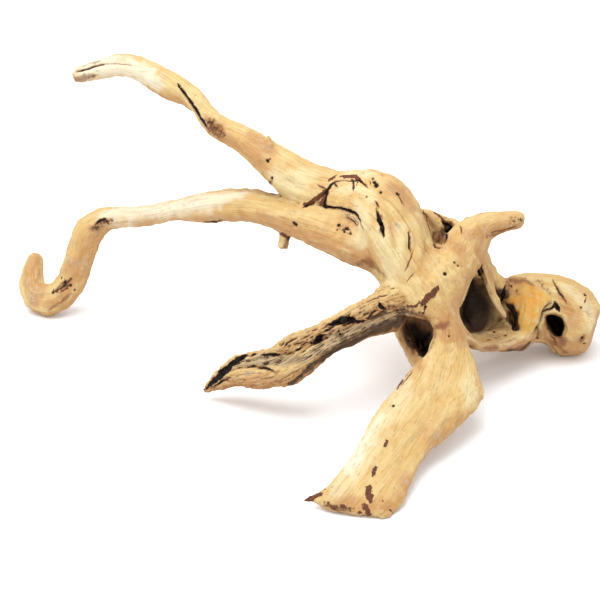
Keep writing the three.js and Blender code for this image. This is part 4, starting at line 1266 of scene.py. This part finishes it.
def table_finish(stage):
    """A matt, pale table top."""
    graph = Graph("pale_table")
    place = graph.add("ShaderNodeTexCoord").outputs["Object"]
    cloud = graph.noise(place, 3, 2, 0.5)
    low = [channel * CLOUD_SHADE for channel in stage.table]
    tone = graph.blend(cloud, low, stage.table)
    graph.give(graph.shader.inputs["Base Color"], tone)
    graph.shader.inputs["Roughness"].default_value = TABLE_ROUGHNESS
    graph.shader.inputs["Specular IOR Level"].default_value = 0.0
    return graph.material


# Settings.
def linear(red, green, blue):
    """A colour given as 0 to 255 on a screen, as the light it stands for."""
    shares = (level / 255 for level in (red, green, blue))
    return tuple(((v + 0.055) / 1.055) ** 2.4 if v > 0.04 else v / 12.92 for v in shares)


def colour_property(name, description, red, green, blue):
    return FloatVectorProperty(
        name=name, description=description, subtype="COLOR", size=3, min=0, max=1,
        default=linear(red, green, blue),
    )


def length_property(name, description, millimetres):
    return FloatProperty(
        name=name, description=description, default=millimetres * MM, min=0, precision=5,
        subtype="DISTANCE", unit="LENGTH",
    )


class RootShapeSettings(bpy.types.PropertyGroup):
    """Sizes of the root's surface forms."""

    voxel: length_property("Voxel", "Grain of the mesh that the surface is carved in", 0.9)
    quick_voxel: length_property("Quick voxel", "Grain of the mesh for a quick look", 1.5)
    fillet_passes: IntProperty(
        name="Fillet passes", description="How far creases are rounded", default=90, min=0,
    )
    crease_filling: length_property("Crease filling", "Most that a crease between strands is filled", 3.2)
    edge_rounding: length_property("Edge rounding", "Most that an edge is worn down", 1.0)
    lump_height: length_property("Lump height", "Height of the broad swellings", 1.1)
    dent_height: length_property("Dent height", "Height of the small dents and bumps", 0.55)
    nick_depth: length_property("Nick depth", "Depth of the short nicks along the grain", 0.5)
    rough_height: length_property("Rough height", "Height of the bumps in the rough patches", 0.7)
    sinew_height: length_property("Sinew height", "Height of the sinews that run along the strands", 0.9)
    fibre_height: length_property("Fibre height", "Height of the fine fibres", 0.13)
    rot_height: length_property("Rot height", "Height of the ribs and pits of the weathered limb", 1.5)
    bark_thickness: length_property("Bark thickness", "How far the scraps of bark stand out", 0.45)
    most_triangles: IntProperty(
        name="Most triangles", description="The mesh is thinned to this number", default=194000, min=1000,
    )


class WoodFinishSettings(bpy.types.PropertyGroup):
    """Colours of the wood."""

    cream: colour_property("Cream", "Pale sound wood", 200, 176, 124)
    straw: colour_property("Straw", "Sound wood", 193, 160, 102)
    honey: colour_property("Honey", "Warm patches", 184, 143, 85)
    gold: colour_property("Gold", "Yellow patches", 194, 160, 86)
    # Biscuit also paints the shade on undersides and on sides turned from the light.
    biscuit: colour_property("Biscuit", "Broad tan patches and undersides", 170, 125, 76)
    # Bleached is also the tone of the painted highlights on lit tops, ridges and edges.
    bleached: colour_property("Bleached", "Wood that the sun bleached", 205, 192, 150)
    # The near-white of the painted highlights.
    highlight_white: colour_property("Chalk", "Wood that the sun bleached nearly white", 214, 205, 182)
    # Tan also paints the shade in broad furrows and under the rotten limb.
    tan: colour_property("Tan", "Furrows and dark grain", 146, 98, 54)
    # Russet also paints the shade where the skin is half sheltered, and rings the cuts.
    russet: colour_property("Russet", "Stains in sheltered places", 112, 62, 34)
    amber: colour_property("Amber", "The flap over the hollow", 203, 143, 61)
    grey: colour_property("Grey", "Rotten wood", 174, 152, 118)
    dusk: colour_property("Dusk", "Dark grain of rotten wood", 74, 57, 41)
    # Umber also paints the shade in the rotten limb's fine furrows and in the hearts of hollows.
    umber: colour_property("Umber", "Furrows of rotten wood", 60, 39, 24)
    bark: colour_property("Bark", "Scraps of bark", 104, 62, 46)
    # Near black: painted shade deep in hollows and in the cores of cuts, over their darker wood.
    hollow: colour_property("Hollow", "Cracks and the depths of hollows", 22, 13, 8)


class StageSettings(bpy.types.PropertyGroup):
    """The table and the light."""

    table: colour_property("Table", "Colour of the table", 252, 253, 255)
    key_power: FloatProperty(name="Key light", description="Power of the soft box", default=17, min=0)
    sky: FloatProperty(name="Sky", description="Strength of the even light", default=1.1, min=0)
    key_size: length_property("Light size", "Width of the soft box", 1400)
    table_side: length_property("Table side", "Side of the table top", 9000)


# Operators.
class SPIDERWOOD_OT_root(bpy.types.Operator):
    """Grow the whole root in the frame's space"""

    bl_idname = "spiderwood.root"
    bl_label = "Grow the Root"

    def execute(self, context):
        scene = context.scene
        piece = grow_root(scene.root_shape)
        piece.data.materials.append(bleached_wood(scene.wood_finish))
        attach(piece, "root")
        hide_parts("spiderwood_root")
        return {"FINISHED"}


class SPIDERWOOD_OT_stage(bpy.types.Operator):
    """Set up the pale table, the soft light and the camera"""

    bl_idname = "spiderwood.stage"
    bl_label = "Set the Stage"

    def execute(self, context):
        scene = context.scene
        stage = scene.root_stage
        deselect_all()
        bpy.ops.mesh.primitive_plane_add(size=stage.table_side, location=(0, 0, -TABLE_DROP * MM))
        table = context.object
        bpy.ops.object.transform_apply(location=True, rotation=True, scale=True)
        table.name = "table"
        table.data.materials.append(table_finish(stage))

        world = bpy.data.worlds.new("soft_sky")
        world.use_nodes = True
        world.node_tree.nodes["Background"].inputs["Color"].default_value = (1, 1, 1, 1)
        world.node_tree.nodes["Background"].inputs["Strength"].default_value = stage.sky
        scene.world = world
        bpy.ops.object.light_add(type="AREA", location=LIGHT_PLACE)
        key = context.object
        key.name = "soft_box"
        key.data.shape = "DISK"
        key.data.size = stage.key_size
        key.data.energy = stage.key_power
        key.rotation_euler = (Vector(LIGHT_AIM) - key.location).to_track_quat("-Z", "Y").to_euler()

        bpy.ops.object.camera_add(location=EYE * MM)
        camera = context.object
        camera.name = "front_camera"
        camera.rotation_euler = (math.pi / 2 - VIEW_DROP, 0, 0)
        camera.data.sensor_width = SENSOR_WIDTH
        camera.data.lens = SENSOR_WIDTH * VIEW_DISTANCE / VIEW_WIDTH
        camera.data.clip_start = CAMERA_NEAR
        camera.data.clip_end = CAMERA_FAR
        scene.camera = camera
        scene.view_settings.view_transform = "Standard"
        return {"FINISHED"}


class SPIDERWOOD_PT_panel(bpy.types.Panel):
    """Lists the pieces of the root and their settings"""

    bl_label = "Spiderwood Root"
    bl_idname = "SPIDERWOOD_PT_panel"
    bl_space_type = "VIEW_3D"
    bl_region_type = "UI"
    bl_category = "Root"

    def draw(self, context):
        for maker in MAKERS:
            self.layout.operator(maker.bl_idname)
        for settings in (context.scene.root_shape, context.scene.wood_finish, context.scene.root_stage):
            box = self.layout.box()
            for field in settings.__annotations__:
                box.prop(settings, field)


MAKERS = (SPIDERWOOD_OT_root, SPIDERWOOD_OT_stage)
SETTINGS = {"root_shape": RootShapeSettings, "wood_finish": WoodFinishSettings, "root_stage": StageSettings}


def register():
    for kind in (*SETTINGS.values(), *MAKERS, SPIDERWOOD_PT_panel):
        bpy.utils.register_class(kind)
    for name, kind in SETTINGS.items():
        setattr(bpy.types.Scene, name, PointerProperty(type=kind))


def unregister():
    for name in SETTINGS:
        delattr(bpy.types.Scene, name)
    for kind in reversed((*SETTINGS.values(), *MAKERS, SPIDERWOOD_PT_panel)):
        bpy.utils.unregister_class(kind)


def main():
    register()
    bpy.ops.spiderwood.root()
    bpy.ops.spiderwood.stage()


if __name__ == "__main__":
    main()
